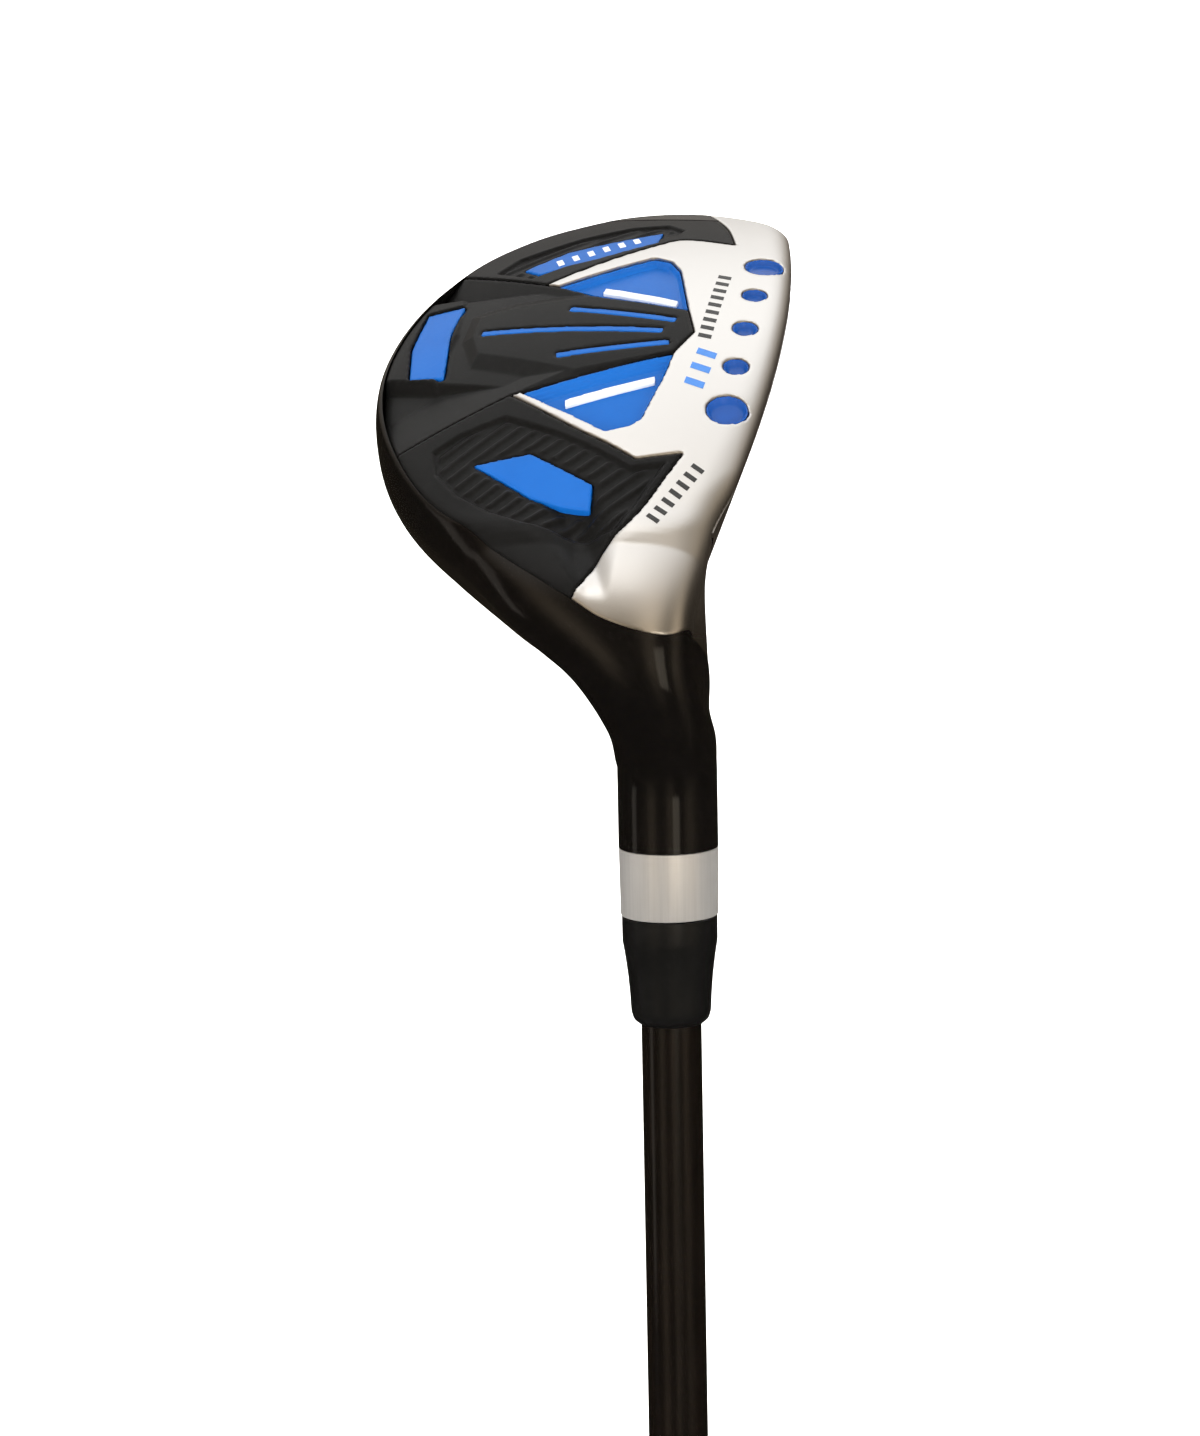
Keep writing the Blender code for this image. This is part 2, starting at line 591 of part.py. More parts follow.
turned("hosel_ring", [(6.95, down(HOSEL_TOP + GAP)), (7.0, down(HOSEL_TOP + GAP + 0.4)), (6.85, down(RING_TOP - 0.3)),
                      (6.7, down(RING_TOP)), (BORE_RADIUS, down(RING_TOP)), (BORE_RADIUS, down(HOSEL_TOP + GAP))],
       SILVER_BRUSHED)
ferrule_profile = [(6.8, down(RING_TOP + GAP)), (6.75, down(65)), (6.35, down(66.8)), (5.98, down(69.7)),
                   (5.75, down(72.5)), (5.62, down(74.9)), (5.35, down(75.8)), (4.95, down(76.3)),
                   (BORE_RADIUS, down(FERRULE_TOP)), (BORE_RADIUS, down(RING_TOP + GAP))]
turned("ferrule", ferrule_profile, BLACK_SATIN)

tip = BORE_END + GAP
shaft_outer = [(TIP_RADIUS, down(tip)), (TIP_RADIUS, down(TIP_PARALLEL)), (BUTT_RADIUS, CAP_THICKNESS + GAP)]
shaft_inner = [(radius - SHAFT_WALL, height) for radius, height in shaft_outer[::-1]]
turned("shaft", shaft_outer + shaft_inner, BLACK_GLOSS)
turned("tip_weight", [(0, down(24)), (2.5, down(24)), (2.5, down(38)), (0, down(38))], STEEL, 20)
turned("tip_plug", [(0, down(38.3)), (2.6, down(38.3)), (2.6, down(50)), (0, down(50))], CORK, 20)

GRIP_HEIGHTS = (GRIP_LENGTH, 200.0, 130.0, 60.0, CAP_THICKNESS + GAP)
tape_inner = [(shaft_radius(height) + GAP, height) for height in (GRIP_LENGTH - 4, CAP_THICKNESS + GAP)]
tape_outer = [(radius + TAPE_THICKNESS, height) for radius, height in tape_inner]
turned("grip_tape", tape_outer + tape_inner[::-1], PAPER)

sleeve_bore = [(shaft_radius(height) + 2 * GAP + TAPE_THICKNESS, height) for height in GRIP_HEIGHTS]
sleeve_outer = [(8.6, GRIP_LENGTH), (9.1, GRIP_LENGTH - 0.8), (9.3, GRIP_LENGTH - 6), (10.2, 200), (11.2, 130),
                (12.4, 60), (13.2, 15), (13.3, CAP_THICKNESS + GAP)]
turned("grip_sleeve", sleeve_outer + sleeve_bore[::-1], RUBBER)
turned("grip_cap", [(13.3, CAP_THICKNESS), (13.35, 3.6), (13.0, 1.8), (12.2, 0.6), (11.0, 0), (1.5, 0),
                    (1.5, CAP_THICKNESS)], RUBBER)
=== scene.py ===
# %% [markdown]
# # A hybrid golf club
# The club stands on the end of its grip with the head at the top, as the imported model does. Each visible
# piece of the head is shaped here again at a finer grain than the plain solids have, because a gloss or satin
# finish shows every facet. The solids stay behind it for size, weight and collision.

import json
import math

import bpy
import numpy as np
from mathutils import Matrix, Vector

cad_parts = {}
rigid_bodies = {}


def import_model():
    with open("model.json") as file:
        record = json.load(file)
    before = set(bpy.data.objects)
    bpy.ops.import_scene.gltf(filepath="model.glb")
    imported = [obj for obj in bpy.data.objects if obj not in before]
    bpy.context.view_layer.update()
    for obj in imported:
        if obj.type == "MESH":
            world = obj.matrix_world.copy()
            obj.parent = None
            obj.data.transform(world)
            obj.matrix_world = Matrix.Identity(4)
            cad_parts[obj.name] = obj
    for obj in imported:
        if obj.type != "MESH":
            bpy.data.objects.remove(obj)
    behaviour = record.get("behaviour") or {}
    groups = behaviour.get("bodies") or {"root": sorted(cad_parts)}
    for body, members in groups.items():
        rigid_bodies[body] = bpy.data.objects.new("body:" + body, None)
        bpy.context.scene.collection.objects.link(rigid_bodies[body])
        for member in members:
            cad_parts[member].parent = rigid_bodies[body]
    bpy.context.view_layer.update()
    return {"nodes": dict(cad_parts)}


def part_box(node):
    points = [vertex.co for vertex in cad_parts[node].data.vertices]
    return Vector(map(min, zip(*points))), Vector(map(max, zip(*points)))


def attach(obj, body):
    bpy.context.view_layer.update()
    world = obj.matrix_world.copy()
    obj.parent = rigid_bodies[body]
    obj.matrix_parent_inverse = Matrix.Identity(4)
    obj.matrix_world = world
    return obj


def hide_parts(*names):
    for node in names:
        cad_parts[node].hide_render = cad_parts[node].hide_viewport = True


for old in list(bpy.data.objects):
    bpy.data.objects.remove(old)
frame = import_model()
print("solids loaded:", len(frame["nodes"]))

# %% [markdown]
# The head is easiest to draw lying on its crown with the sole up, in millimetres: X forward, Y from heel to
# toe, Z out of the sole. One matrix then carries a finished piece to its place on the club. The matrix needs
# the height of the ground line along the shaft, which the hosel ring gives.

# %% The head's own drawing board
MM = 0.001
LIE = 60.0
LOFT = 22.0
RING_TOP = 61.1  # hosel ring's lower end, measured down the shaft from the ground line

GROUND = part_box("hosel_ring")[0].z / MM + RING_TOP
ON_CLUB = Matrix.Scale(MM, 4)
ON_HEAD = Matrix.Translation((0, 0, GROUND * MM)) @ Matrix.Rotation(math.radians(90 - LIE), 4, "X") @ ON_CLUB
print("ground line at", round(GROUND, 2), "mm")


def pick(obj):
    """Makes this the only selected object, and the active one."""
    bpy.ops.object.select_all(action="DESELECT")
    obj.select_set(True)
    bpy.context.view_layer.objects.active = obj
    return obj


def coordinates(obj):
    flat = np.empty(len(obj.data.vertices) * 3)
    obj.data.vertices.foreach_get("co", flat)
    return flat.reshape(-1, 3)


def move_to(obj, points):
    obj.data.vertices.foreach_set("co", np.ascontiguousarray(points, dtype=np.float32).ravel())
    obj.data.update()
    return obj


def shaped(obj, kind, **settings):
    """Adds one modifier and applies it."""
    pick(obj)
    modifier = obj.modifiers.new(kind.title(), kind)
    for name, value in settings.items():
        setattr(modifier, name, value)
    bpy.ops.object.modifier_apply(modifier=modifier.name)
    return obj


def combined(obj, operation, *others):
    """Cuts obj with other shapes, or keeps what they share, and uses those shapes up."""
    for other in others:
        shaped(obj, "BOOLEAN", operation=operation, solver="MANIFOLD", object=other)
        bpy.data.objects.remove(other)
    return obj


def in_edit(obj, *steps):
    """Runs operators in edit mode with everything selected. A step is an operator and its settings."""
    pick(obj)
    bpy.ops.object.mode_set(mode="EDIT")
    bpy.ops.mesh.select_all(action="SELECT")
    for operator, settings in steps:
        operator(**settings)
    bpy.ops.object.mode_set(mode="OBJECT")
    return obj


OUTWARD = (bpy.ops.mesh.select_all, {"action": "SELECT"}), (bpy.ops.mesh.normals_make_consistent, {"inside": False})

# %% [markdown]
# The surfaces that shape the head are simple to say in numbers. The sole is cambered both ways, and lifts clear
# of the heel. The face leans back by its loft and bulges a little. Between them the head is a row of sections,
# like the frames of a boat: each is a squared oval, given by its reach to the rear, front, crown and sole.

# %% Surfaces and sections
CAMBER_Y, LOW_Y = 136.0, 38.0
CAMBER_X, LOW_X = 160.0, -12.0
FACE_X, FACE_BULGE, FACE_MIDDLE = 13.9, 300.0, 45.0
HEEL_LIFT_START, HEEL_LIFT = 3.0, 40.0
FACE_FLARE_START, FACE_FLARE = 2.0, 30.0
NECK_START = -12.0  # y where the face has run out and the neck is whole

# y, rear, front, crown height, widest height, underside, lower power, upper power, forward lean
HEAD_SECTIONS = np.array((
    (-5.3, -28.5, 5.4, 33.1, 13.0, 6.8, 3.2, 2.0, 8.0),
    (4.0, -37.0, 8.2, 33.6, 12.0, 1.5, 3.0, 2.0, 6.2),
    (15.0, -43.5, 15.0, 35.0, 12.5, -3.0, 3.0, 2.2, 2.5),
    (28.0, -47.5, 20.0, 36.5, 13.5, -6.0, 3.0, 2.2, 0.0),
    (42.0, -47.0, 21.0, 37.0, 14.0, -7.0, 3.0, 2.2, 0.0),
    (56.0, -42.5, 20.0, 36.0, 14.0, -6.0, 3.0, 2.2, 0.0),
    (68.0, -35.2, 16.0, 33.0, 14.0, -4.0, 3.0, 2.2, 0.0),
    (76.0, -26.4, 10.0, 28.5, 14.0, -1.5, 2.8, 2.2, 0.0),
    (81.0, -17.6, 1.0, 23.5, 14.0, 3.0, 2.5, 2.2, 0.0),
    (83.5, -10.0, -7.0, 16.0, 14.0, 12.0, 2.2, 2.2, 0.0),
))
# The heel's sections fan out from a hinge above the crown: angle, rear, front, near, widest, far, and as above
HOSEL_RADIUS = 7.0
HINGE_Y, HINGE_HEIGHT = -5.3, 43.1
HEEL_SECTIONS = np.array((
    (0.0, -28.5, 5.4, 10.0, 30.1, 36.3, 3.2, 2.0, 8.0),
    (15.0, -21.2, 4.6, 10.0, 28.5, 34.3, 2.8, 2.0, 8.0),
    (30.0, -12.2, 5.2, 10.0, 25.0, 31.5, 2.3, 2.0, 3.6),
    (45.0, -8.0, 6.9, 10.0, 19.5, 27.0, 2.1, 2.0, 0.8),
    (60.0, -HOSEL_RADIUS, HOSEL_RADIUS, 10.0, 17.0, 24.0, 2.0, 2.0, 0.0),
))
HOSEL_TOP = 51.3


def sole(x, y):
    """Height of the sole over the drawing board."""
    return -((y - LOW_Y) ** 2 / (2 * CAMBER_Y) + (x - LOW_X) ** 2 / (2 * CAMBER_X))


def past_sole(points):
    x, y, z = points.T
    return z - sole(x, y) - np.maximum(0, HEEL_LIFT_START - y) ** 2 / HEEL_LIFT


def past_face(points):
    x, y, z = points.T
    flare = np.maximum(0, FACE_FLARE_START - y) ** 2 / FACE_FLARE + np.maximum(0, NECK_START - y) ** 2
    return x - (FACE_X + math.tan(math.radians(LOFT)) * z - (y - FACE_MIDDLE) ** 2 / (2 * FACE_BULGE) + flare)


def section_at(rows, position):
    """The values of a table of sections anywhere along it, on a smooth curve through its rows."""
    keys, values = rows[:, 0], rows[:, 1:]
    slopes = np.gradient(values, keys, axis=0)
    i = int(np.clip(np.searchsorted(keys, position) - 1, 0, len(keys) - 2))
    step = keys[i + 1] - keys[i]
    t = (position - keys[i]) / step
    start = values[i] * (2 * t**3 - 3 * t**2 + 1) + slopes[i] * step * (t**3 - 2 * t**2 + t)
    return start + values[i + 1] * (3 * t**2 - 2 * t**3) + slopes[i + 1] * step * (t**3 - t**2)


# %% [markdown]
# The whole head is one closed skin before it is split into pieces. It could be cut from a loft with Booleans,
# but the edges would be knife sharp. Here each section is drawn with rays from its middle: a ray stops at the
# section, the sole or the face, and where two of them come close the stop is blended, which rounds the edge.

# %% Rounded sections
AROUND = 256
FINE = 720
EDGE_ROUND = 1.6  # blend where the skirt meets the sole
HEEL_ROUND, HEEL_ROUND_START = 8.0, 14.0  # extra blend at the front of the heel, and the y where it begins
FRONT_ROUND = 7.0  # blend along the leading edge
CORNER_SHARE = 6.0  # extra length that a full radian of turning counts for when points are shared out
FAR = 90.0


def ease(value):
    t = np.clip(value, 0, 1)
    return t * t * (3 - 2 * t)


def soft_min(a, b, reach):
    near = np.maximum(reach - np.abs(a - b), 0) / reach
    return np.minimum(a, b) - near**2 * reach / 4


def stops(start, rays, past):
    """How far each ray goes before it is past a surface."""
    low, high = np.zeros(len(rays)), np.full(len(rays), FAR)
    for _ in range(26):
        middle = (low + high) / 2
        out = past(start + middle[:, None] * rays) > 0
        low, high = np.where(out, low, middle), np.where(out, middle, high)
    return high


def rounded_section(values, base, outward, inset, heel_share=0.0):
    """One closed ring of points. outward is the way to the sole, and heights are measured against it."""
    rear, front, top, middle, bottom, lower, upper, lean = values
    turn = np.linspace(0, 2 * np.pi, FINE, endpoint=False)
    cosine, sine = np.cos(turn), np.sin(turn)
    power = 2 / np.where(sine >= 0, upper, lower)
    across = np.sign(cosine) * np.abs(cosine) ** power * ((front - rear) / 2 - inset)
    up = np.sign(sine) * np.abs(sine) ** power
    tall = np.where(sine >= 0, top - middle - inset, middle - bottom - inset) * up
    flat_x = across + lean * np.maximum(0, up)
    angle, reach = np.arctan2(-tall, flat_x), np.hypot(flat_x, tall)
    length = np.interp(turn, angle % (2 * np.pi), reach, period=2 * np.pi)
    start = base + np.array((1.0, 0, 0)) * (rear + front) / 2 - outward * middle
    rays = cosine[:, None] * np.array((1.0, 0, 0)) + sine[:, None] * outward
    to_sole = stops(start, rays, past_sole) - inset
    to_face = stops(start, rays, past_face) - inset
    blend = EDGE_ROUND + HEEL_ROUND * heel_share * ease((cosine + 0.75) / 0.6) * ease((0.8 - cosine) / 0.6)
    length = soft_min(length, soft_min(to_sole, to_face, FRONT_ROUND), blend)
    ring = start + length[:, None] * rays
    step = np.roll(ring, -1, axis=0) - ring
    long = np.linalg.norm(step, axis=1)
    way = step / long[:, None]
    bend = np.arccos(np.clip((way * np.roll(way, 1, axis=0)).sum(axis=1), -1, 1))
    share = np.concatenate(([0], np.cumsum(long + CORNER_SHARE * (bend + np.roll(bend, -1)) / 2)))
    wanted = np.linspace(0, share[-1], AROUND, endpoint=False)
    closed = np.vstack((ring, ring[:1]))
    return np.stack([np.interp(wanted, share, closed[:, axis]) for axis in range(3)], axis=1)


def head_rings(inset=0.0, with_neck=True):
    rings = []
    tip = 83.4 - 1.6 * inset
    toe = tip - 18 * np.linspace(0, 1, 34) ** 2
    middle = np.arange(toe[-1] - 1, HINGE_Y if with_neck else 3.0, -1.0)
    for y in np.concatenate((toe, middle)):
        values = section_at(HEAD_SECTIONS, y + (inset if y > LOW_Y else 0))
        heel_share = float(ease((HEEL_ROUND_START - y) / (HEEL_ROUND_START - HINGE_Y)))
        rings.append(rounded_section(values, np.array((0, y, 0.0)), np.array((0, 0, 1.0)), inset, heel_share))
    if not with_neck:
        return rings
    for angle in np.arange(0, 60.1, 1.0):
        sine, cosine = math.sin(math.radians(angle)), math.cos(math.radians(angle))
        rear, front, near, widest, far, *rest = section_at(HEEL_SECTIONS, angle)
        values = (rear, front, -near, -widest, -far, *rest)
        outward = np.array((0, -sine, cosine))
        rings.append(rounded_section(values, np.array((0, HINGE_Y, -HINGE_HEIGHT)), outward, inset, 1.0))
    upward, toward_heel = math.sin(math.radians(LIE)), math.cos(math.radians(LIE))
    straight = HOSEL_TOP - (HINGE_HEIGHT * upward - HINGE_Y * toward_heel)
    neck = rings[-1]
    for share in (0.34, 0.67, 1.0):
        rings.append(neck - np.array((0, toward_heel, upward)) * straight * share)
    return rings


# %% [markdown]
# The skin itself starts as a flat grid. Each row of the grid is laid on one section, which rolls it into a tube;
# the seam is merged and the two ends are filled. A grid keeps the quads in order from toe to neck.

# %% The head's skin


def skin(name, rings):
    rows, columns = len(rings), len(rings[0])
    bpy.ops.mesh.primitive_grid_add(x_subdivisions=columns, y_subdivisions=rows - 1, size=1)
    obj = bpy.context.object
    obj.name = name
    closed = [np.vstack((ring, ring[:1])) for ring in rings]
    move_to(obj, np.vstack(closed))
    return in_edit(obj, (bpy.ops.mesh.remove_doubles, {"threshold": 0.0001}),
                   (bpy.ops.mesh.select_all, {"action": "DESELECT"}),
                   (bpy.ops.mesh.select_non_manifold, {}), (bpy.ops.mesh.fill_holes, {"sides": 0}), *OUTWARD)


def twin(obj, name):
    copy = obj.copy()
    copy.data = obj.data.copy()
    copy.name = name
    bpy.context.scene.collection.objects.link(copy)
    return copy


WALL = 2.2
whole_head = skin("whole_head", head_rings())
hollow_head = skin("hollow_head", head_rings(WALL, with_neck=False))
for guide in (whole_head, hollow_head):
    size = np.ptp(coordinates(guide), axis=0)
    print(guide.name, len(guide.data.polygons), "faces,", " x ".join(f"{side:.1f}" for side in size), "mm")


# %% [markdown]
# The sole is a jigsaw of panels, seen straight on like a floor plan. Each border is drawn once as a smooth curve
# through a few places and then used by both of its neighbours, so that the pieces always fit.

# %% Borders on the sole


def curve(*places, steps=6):
    """Smooth line through places on the sole."""
    points = np.array(places, dtype=float)
    ends = np.vstack((2 * points[0] - points[1], points, 2 * points[-1] - points[-2]))
    line = [points[0]]
    for a, b, c, d in zip(ends, ends[1:], ends[2:], ends[3:]):
        for t in np.linspace(0, 1, steps + 1)[1:]:
            line.append(0.5 * (2 * b + (c - a) * t + (2 * a - 5 * b + 4 * c - d) * t**2
                               + (3 * b - a - 3 * c + d) * t**3))
    return [tuple(point) for point in line]


def moved_edge(outline, distance):
    """Outline moved outwards by a distance, or inwards if it is negative."""
    points = np.array(outline, dtype=float)
    before, after = np.roll(points, 1, axis=0), np.roll(points, -1, axis=0)
    area = (points[:, 0] * after[:, 1] - after[:, 0] * points[:, 1]).sum()
    side = math.copysign(1, area)

    def normal(a, b):
        way = (b - a) / np.linalg.norm(b - a, axis=1)[:, None]
        return np.stack((way[:, 1], -way[:, 0]), axis=1) * side

    first, second = normal(before, points), normal(points, after)
    corner = first + second
    corner /= np.linalg.norm(corner, axis=1)[:, None]
    reach = distance / np.maximum(0.35, (corner * first).sum(axis=1))
    return [tuple(point) for point in points + corner * reach[:, None]]


def sole_edge(y, inset):
    """Rear edge of the sole at y: where the section crosses the sole's height."""
    rear, front, _, middle, bottom, power = section_at(HEAD_SECTIONS, y)[:6]
    half = (front - rear) / 2
    x = rear
    for _ in range(6):
        depth = (middle + sole(x, y)) / (middle - bottom)
        x = (rear + front) / 2 - half * (1 - depth**power) ** (1 / power)
    return x + inset, y


RIM = 0.45
HEEL_BACK, HEEL_CORNER = (-25.5, 23.5), (1.2, 11.4)
HEEL_SIDE = curve(HEEL_BACK, (-15.5, 16.2), (-10.0, 12.8), (-5.5, 9.8))
HEEL_FRONT = curve(HEEL_CORNER, (-4.2, -0.5), (-7.5, -5.0), (-12.0, -14.0))
HEEL_END = curve((6.2, -9.0), (4.8, -14.0), (2.2, -17.2), (-1.9, -17.8), (-7.6, -16.4), (-12.0, -14.0))[:-1]
HEEL_PANEL_END = curve((-12.0, -14.0), (-15.6, -11.8), (-21.6, -7.6), sole_edge(-2.0, RIM))[1:-1]
TOE_BACK, TOE_TIP = (-24.8, 53.0), (1.8, 67.2)
TOE_SIDE = curve(TOE_BACK, (-11.0, 65.3), (-6.0, 68.6), TOE_TIP)
TOE_FRONT = curve(TOE_TIP, (-0.6, 75.0), (-4.5, 82.0))[1:]
HEEL_POCKET = ((-24.1, 23.9), (-10.5, 15.1), (-7.2, 16.3), (-5.7, 17.6), (-3.6, 26.9), (-2.8, 32.9))
TOE_POCKET = ((-2.2, 44.5), (-5.0, 56.5), (-6.8, 59.8), (-9.6, 61.2), (-22.9, 52.2), (-15.1, 47.9))
SPEAR_POINT = (-0.5, 38.2)
REAR_HEEL_CORNER, REAR_TOE_CORNER = sole_edge(13.2, RIM), sole_edge(59.4, RIM)
heel_rear = [sole_edge(y, RIM) for y in np.linspace(-2.0, 12.4, 9)]
middle_rear = [sole_edge(y, RIM) for y in np.linspace(14.0, 58.4, 26)]
toe_rear = [sole_edge(y, RIM) for y in np.linspace(60.4, 79.0, 14)]

HEEL_OUTLINE = [*HEEL_SIDE, *HEEL_FRONT, *HEEL_PANEL_END, *heel_rear, REAR_HEEL_CORNER]
TOE_OUTLINE = [*TOE_SIDE, *TOE_FRONT[:-3], *toe_rear[::-1], REAR_TOE_CORNER]
CENTRE_OUTLINE = [SPEAR_POINT, TOE_POCKET[0], TOE_POCKET[5], TOE_POCKET[4], TOE_BACK, REAR_TOE_CORNER,
                  *middle_rear[::-1], REAR_HEEL_CORNER, HEEL_BACK, HEEL_POCKET[0], HEEL_POCKET[5]]
FRONT_FRAME = [(12.0, -4.0), (30.0, -4.0), (30.0, 95.0), (-4.5, 95.0)]
# Where the silver wraps round the front of the neck, and how far down
CHEEK = [(1.0, -17.5), (1.0, -0.4), (18.0, -0.4), (18.0, -8.5), (7.0, -12.0), *HEEL_END[6:13]]
CHEEK_DEPTH = 15.0
SILVER_OUTLINE = [*HEEL_SIDE, *HEEL_FRONT, *HEEL_END[::-1], *FRONT_FRAME, *TOE_FRONT[::-1],
                  *TOE_SIDE[::-1], TOE_POCKET[4], TOE_POCKET[3], TOE_POCKET[2], TOE_POCKET[1], TOE_POCKET[0],
                  SPEAR_POINT, *HEEL_POCKET[::-1]]
OPENING = [*TOE_FRONT[:-5:-1], *toe_rear[::-1], REAR_TOE_CORNER, *middle_rear[::-1], REAR_HEEL_CORNER,
           *heel_rear[::-1], *HEEL_PANEL_END[::-1], HEEL_FRONT[-1], *HEEL_END[::-1], *FRONT_FRAME]
print("border points:", len(HEEL_OUTLINE), len(TOE_OUTLINE), len(CENTRE_OUTLINE), len(SILVER_OUTLINE))

# %% [markdown]
# A piece of the sole is what three shapes share: the whole head, an upright block with the piece's outline, and
# a slab that follows the sole. The block starts as a filled circle whose points are laid on the outline; the slab
# starts as a grid that is bent to the camber. Both are extruded to their height.

# %% Blocks and slabs
SEAM = 0.07
HIGH, DEEP = 20.0, -60.0


def block(name, outline, low=DEEP, high=HIGH):
    bpy.ops.mesh.primitive_circle_add(vertices=len(outline), radius=1, fill_type="NGON")
    obj = bpy.context.object
    obj.name = name
    move_to(obj, [(x, y, low) for x, y in outline])
    rise = {"TRANSFORM_OT_translate": {"value": (0, 0, high - low)}}
    return in_edit(obj, (bpy.ops.mesh.extrude_region_move, rise), *OUTWARD)


def slab(name, outline, top, bottom, cell=1.0):
    """Everything between two depths under the sole, round about an outline."""
    low, high = np.min(outline, axis=0) - 1.5, np.max(outline, axis=0) + 1.5
    cells = np.maximum(3, np.round((high - low) / cell)).astype(int)
    bpy.ops.mesh.primitive_grid_add(x_subdivisions=cells[0], y_subdivisions=cells[1], size=1)
    obj = bpy.context.object
    obj.name = name
    x, y = ((coordinates(obj)[:, :2] + 0.5) * (high - low) + low).T
    move_to(obj, np.stack((x, y, sole(x, y) - bottom), axis=1))
    rise = {"TRANSFORM_OT_translate": {"value": (0, 0, bottom - top)}}
    return in_edit(obj, (bpy.ops.mesh.extrude_region_move, rise), *OUTWARD)


def layer(name, outline, top, bottom, cell=1.0):
    return combined(slab(name, outline, top, bottom, cell), "INTERSECT", block(name + "_edge", outline))


def softened(obj, grain, passes=4):
    """Rounds every edge a little: the piece is rebuilt from small cubes and then smoothed."""
    shaped(obj, "REMESH", mode="VOXEL", voxel_size=grain)
    return shaped(obj, "SMOOTH", factor=0.5, iterations=passes)


def sole_piece(name, outline, thickness, grain=0.25, hollows=(), deeper=()):
    """Panel of the sole. hollows are (outline, depth) of the recesses in it; deeper is where it is thicker."""
    obj = layer(name, moved_edge(outline, -SEAM), -6.0, thickness)
    for number, (edge, depth) in enumerate(deeper):
        combined(obj, "UNION", layer(f"{name}_deeper_{number}", moved_edge(edge, -SEAM), -6.5, depth))
    combined(obj, "INTERSECT", twin(whole_head, name + "_skin"))
    for number, (edge, depth) in enumerate(hollows):
        combined(obj, "DIFFERENCE", layer(f"{name}_hollow_{number}", edge, -3.0, depth))
    return softened(obj, grain)


def inlay(name, outline, top, bottom, grain=0.2, passes=3):
    return softened(layer(name, outline, top, bottom), grain, passes)


def pressed(obj, depth):
    """Lowers every point by the depth at its place on the sole, so that walls stay upright."""
    points = coordinates(obj)
    points[:, 2] -= depth(points[:, 0], points[:, 1])
    return move_to(obj, points)


# %% [markdown]
# Reliefs on the panels are said as depths at each place: a ramp from an edge, a bowl, or a row of ribs. Ramps from
# the sides of a shape meet in creases, which is how a cast keel gets its facets.

# %% Depths


def side_distances(outline, x, y):
    """Distance outside each side of a convex outline, one row for each side."""
    points = np.array(outline, dtype=float)
    after = np.roll(points, -1, axis=0)
    area = (points[:, 0] * after[:, 1] - after[:, 0] * points[:, 1]).sum()
    way = (after - points) / np.linalg.norm(after - points, axis=1)[:, None]
    normal = np.stack((way[:, 1], -way[:, 0]), axis=1) * math.copysign(1, area)
    return np.stack([(x - px) * nx + (y - py) * ny for (px, py), (nx, ny) in zip(points, normal)])


def edge_distance(outline, x, y):
    """Distance to the nearest side of any outline: positive inside it."""
    points = np.array(outline, dtype=float)
    after = np.roll(points, -1, axis=0)
    nearest = np.full(len(x), np.inf)
    crossings = np.zeros(len(x), dtype=int)
    for (ax, ay), (bx, by) in zip(points, after):
        along = np.clip(((x - ax) * (bx - ax) + (y - ay) * (by - ay)) / ((bx - ax) ** 2 + (by - ay) ** 2), 0, 1)
        nearest = np.minimum(nearest, np.hypot(x - ax - along * (bx - ax), y - ay - along * (by - ay)))
        spans = (ay > y) != (by > y)
        meets = ax + (y - ay) * (bx - ax) / (by - ay if by != ay else 1.0)
        crossings += spans & (x < meets)
    return np.where(crossings % 2 == 1, nearest, -nearest)


def ridge(outline, slopes, x, y):
    """Depth round a flat-topped ridge whose sides fall away at these slopes."""
    return np.maximum(0, (side_distances(outline, x, y) * np.array(slopes)[:, None]).max(axis=0))


# %% [markdown]
# The black centre panel is the keel: a flat-topped arrow that points at the face, with facets falling away to both
# sides and to the rear, and a block at the back that holds a blue window. Three grooves in the arrow hold stripes.

# %% Centre panel
STRIPES = (((-19.9, 44.7), (-3.6, 41.3)), ((-32.5, 39.7), (-5.1, 38.4)), ((-20.1, 32.3), (-3.8, 35.4)))
STRIPE_WIDTH = 0.9
REAR_WINDOW = ((-43.2, 38.7), (-42.1, 30.7), (-36.7, 29.8), (-37.6, 41.4), (-36.9, 49.3), (-42.4, 48.3))
ARROW = ((-33.4, 44.2), (-28.5, 46.2), (-17.1, 48.0), (-1.9, 43.6), (-0.3, 38.3), (-2.8, 33.0), (-16.7, 28.5),
         (-32.0, 34.3), (-33.7, 39.0))
ARROW_FALL = (0.34, 0.32, 0.45, 0.0, 0.0, 0.45, 0.26, 0.42, 0.42)
REAR_BLOCK = ((-50.0, 51.6), (-36.6, 51.1), (-35.9, 48.5), (-36.8, 41.2), (-35.9, 28.6), (-50.0, 32.5))
REAR_FALL = (1.1, 1.1, 0.9, 0.9, 0.9, 0.0)
SHELF = ((-50.0, 51.0), (-20.0, 51.0), (-20.0, 24.2), (-25.5, 25.3), (-35.5, 28.5), (-43.0, 30.5), (-50.0, 32.4))
SHELF_FALL = (0.6, 0.0, 0.0, 0.6, 0.75, 0.75, 0.75)
SHELF_DEPTH, BLOCK_DEPTH = 0.75, 0.25
HEEL_LAND, TOE_LAND = 0.19, 0.32  # slopes that rise from the valleys to the panels on either side
VALLEY = 1.9


def stripe_edge(ends, width):
    (ax, ay), (bx, by) = ends
    long = math.hypot(bx - ax, by - ay)
    nx, ny = -(by - ay) / long * width / 2, (bx - ax) / long * width / 2
    return [(ax + nx, ay + ny), (bx + nx, by + ny), (bx - nx, by - ny), (ax - nx, ay - ny)]


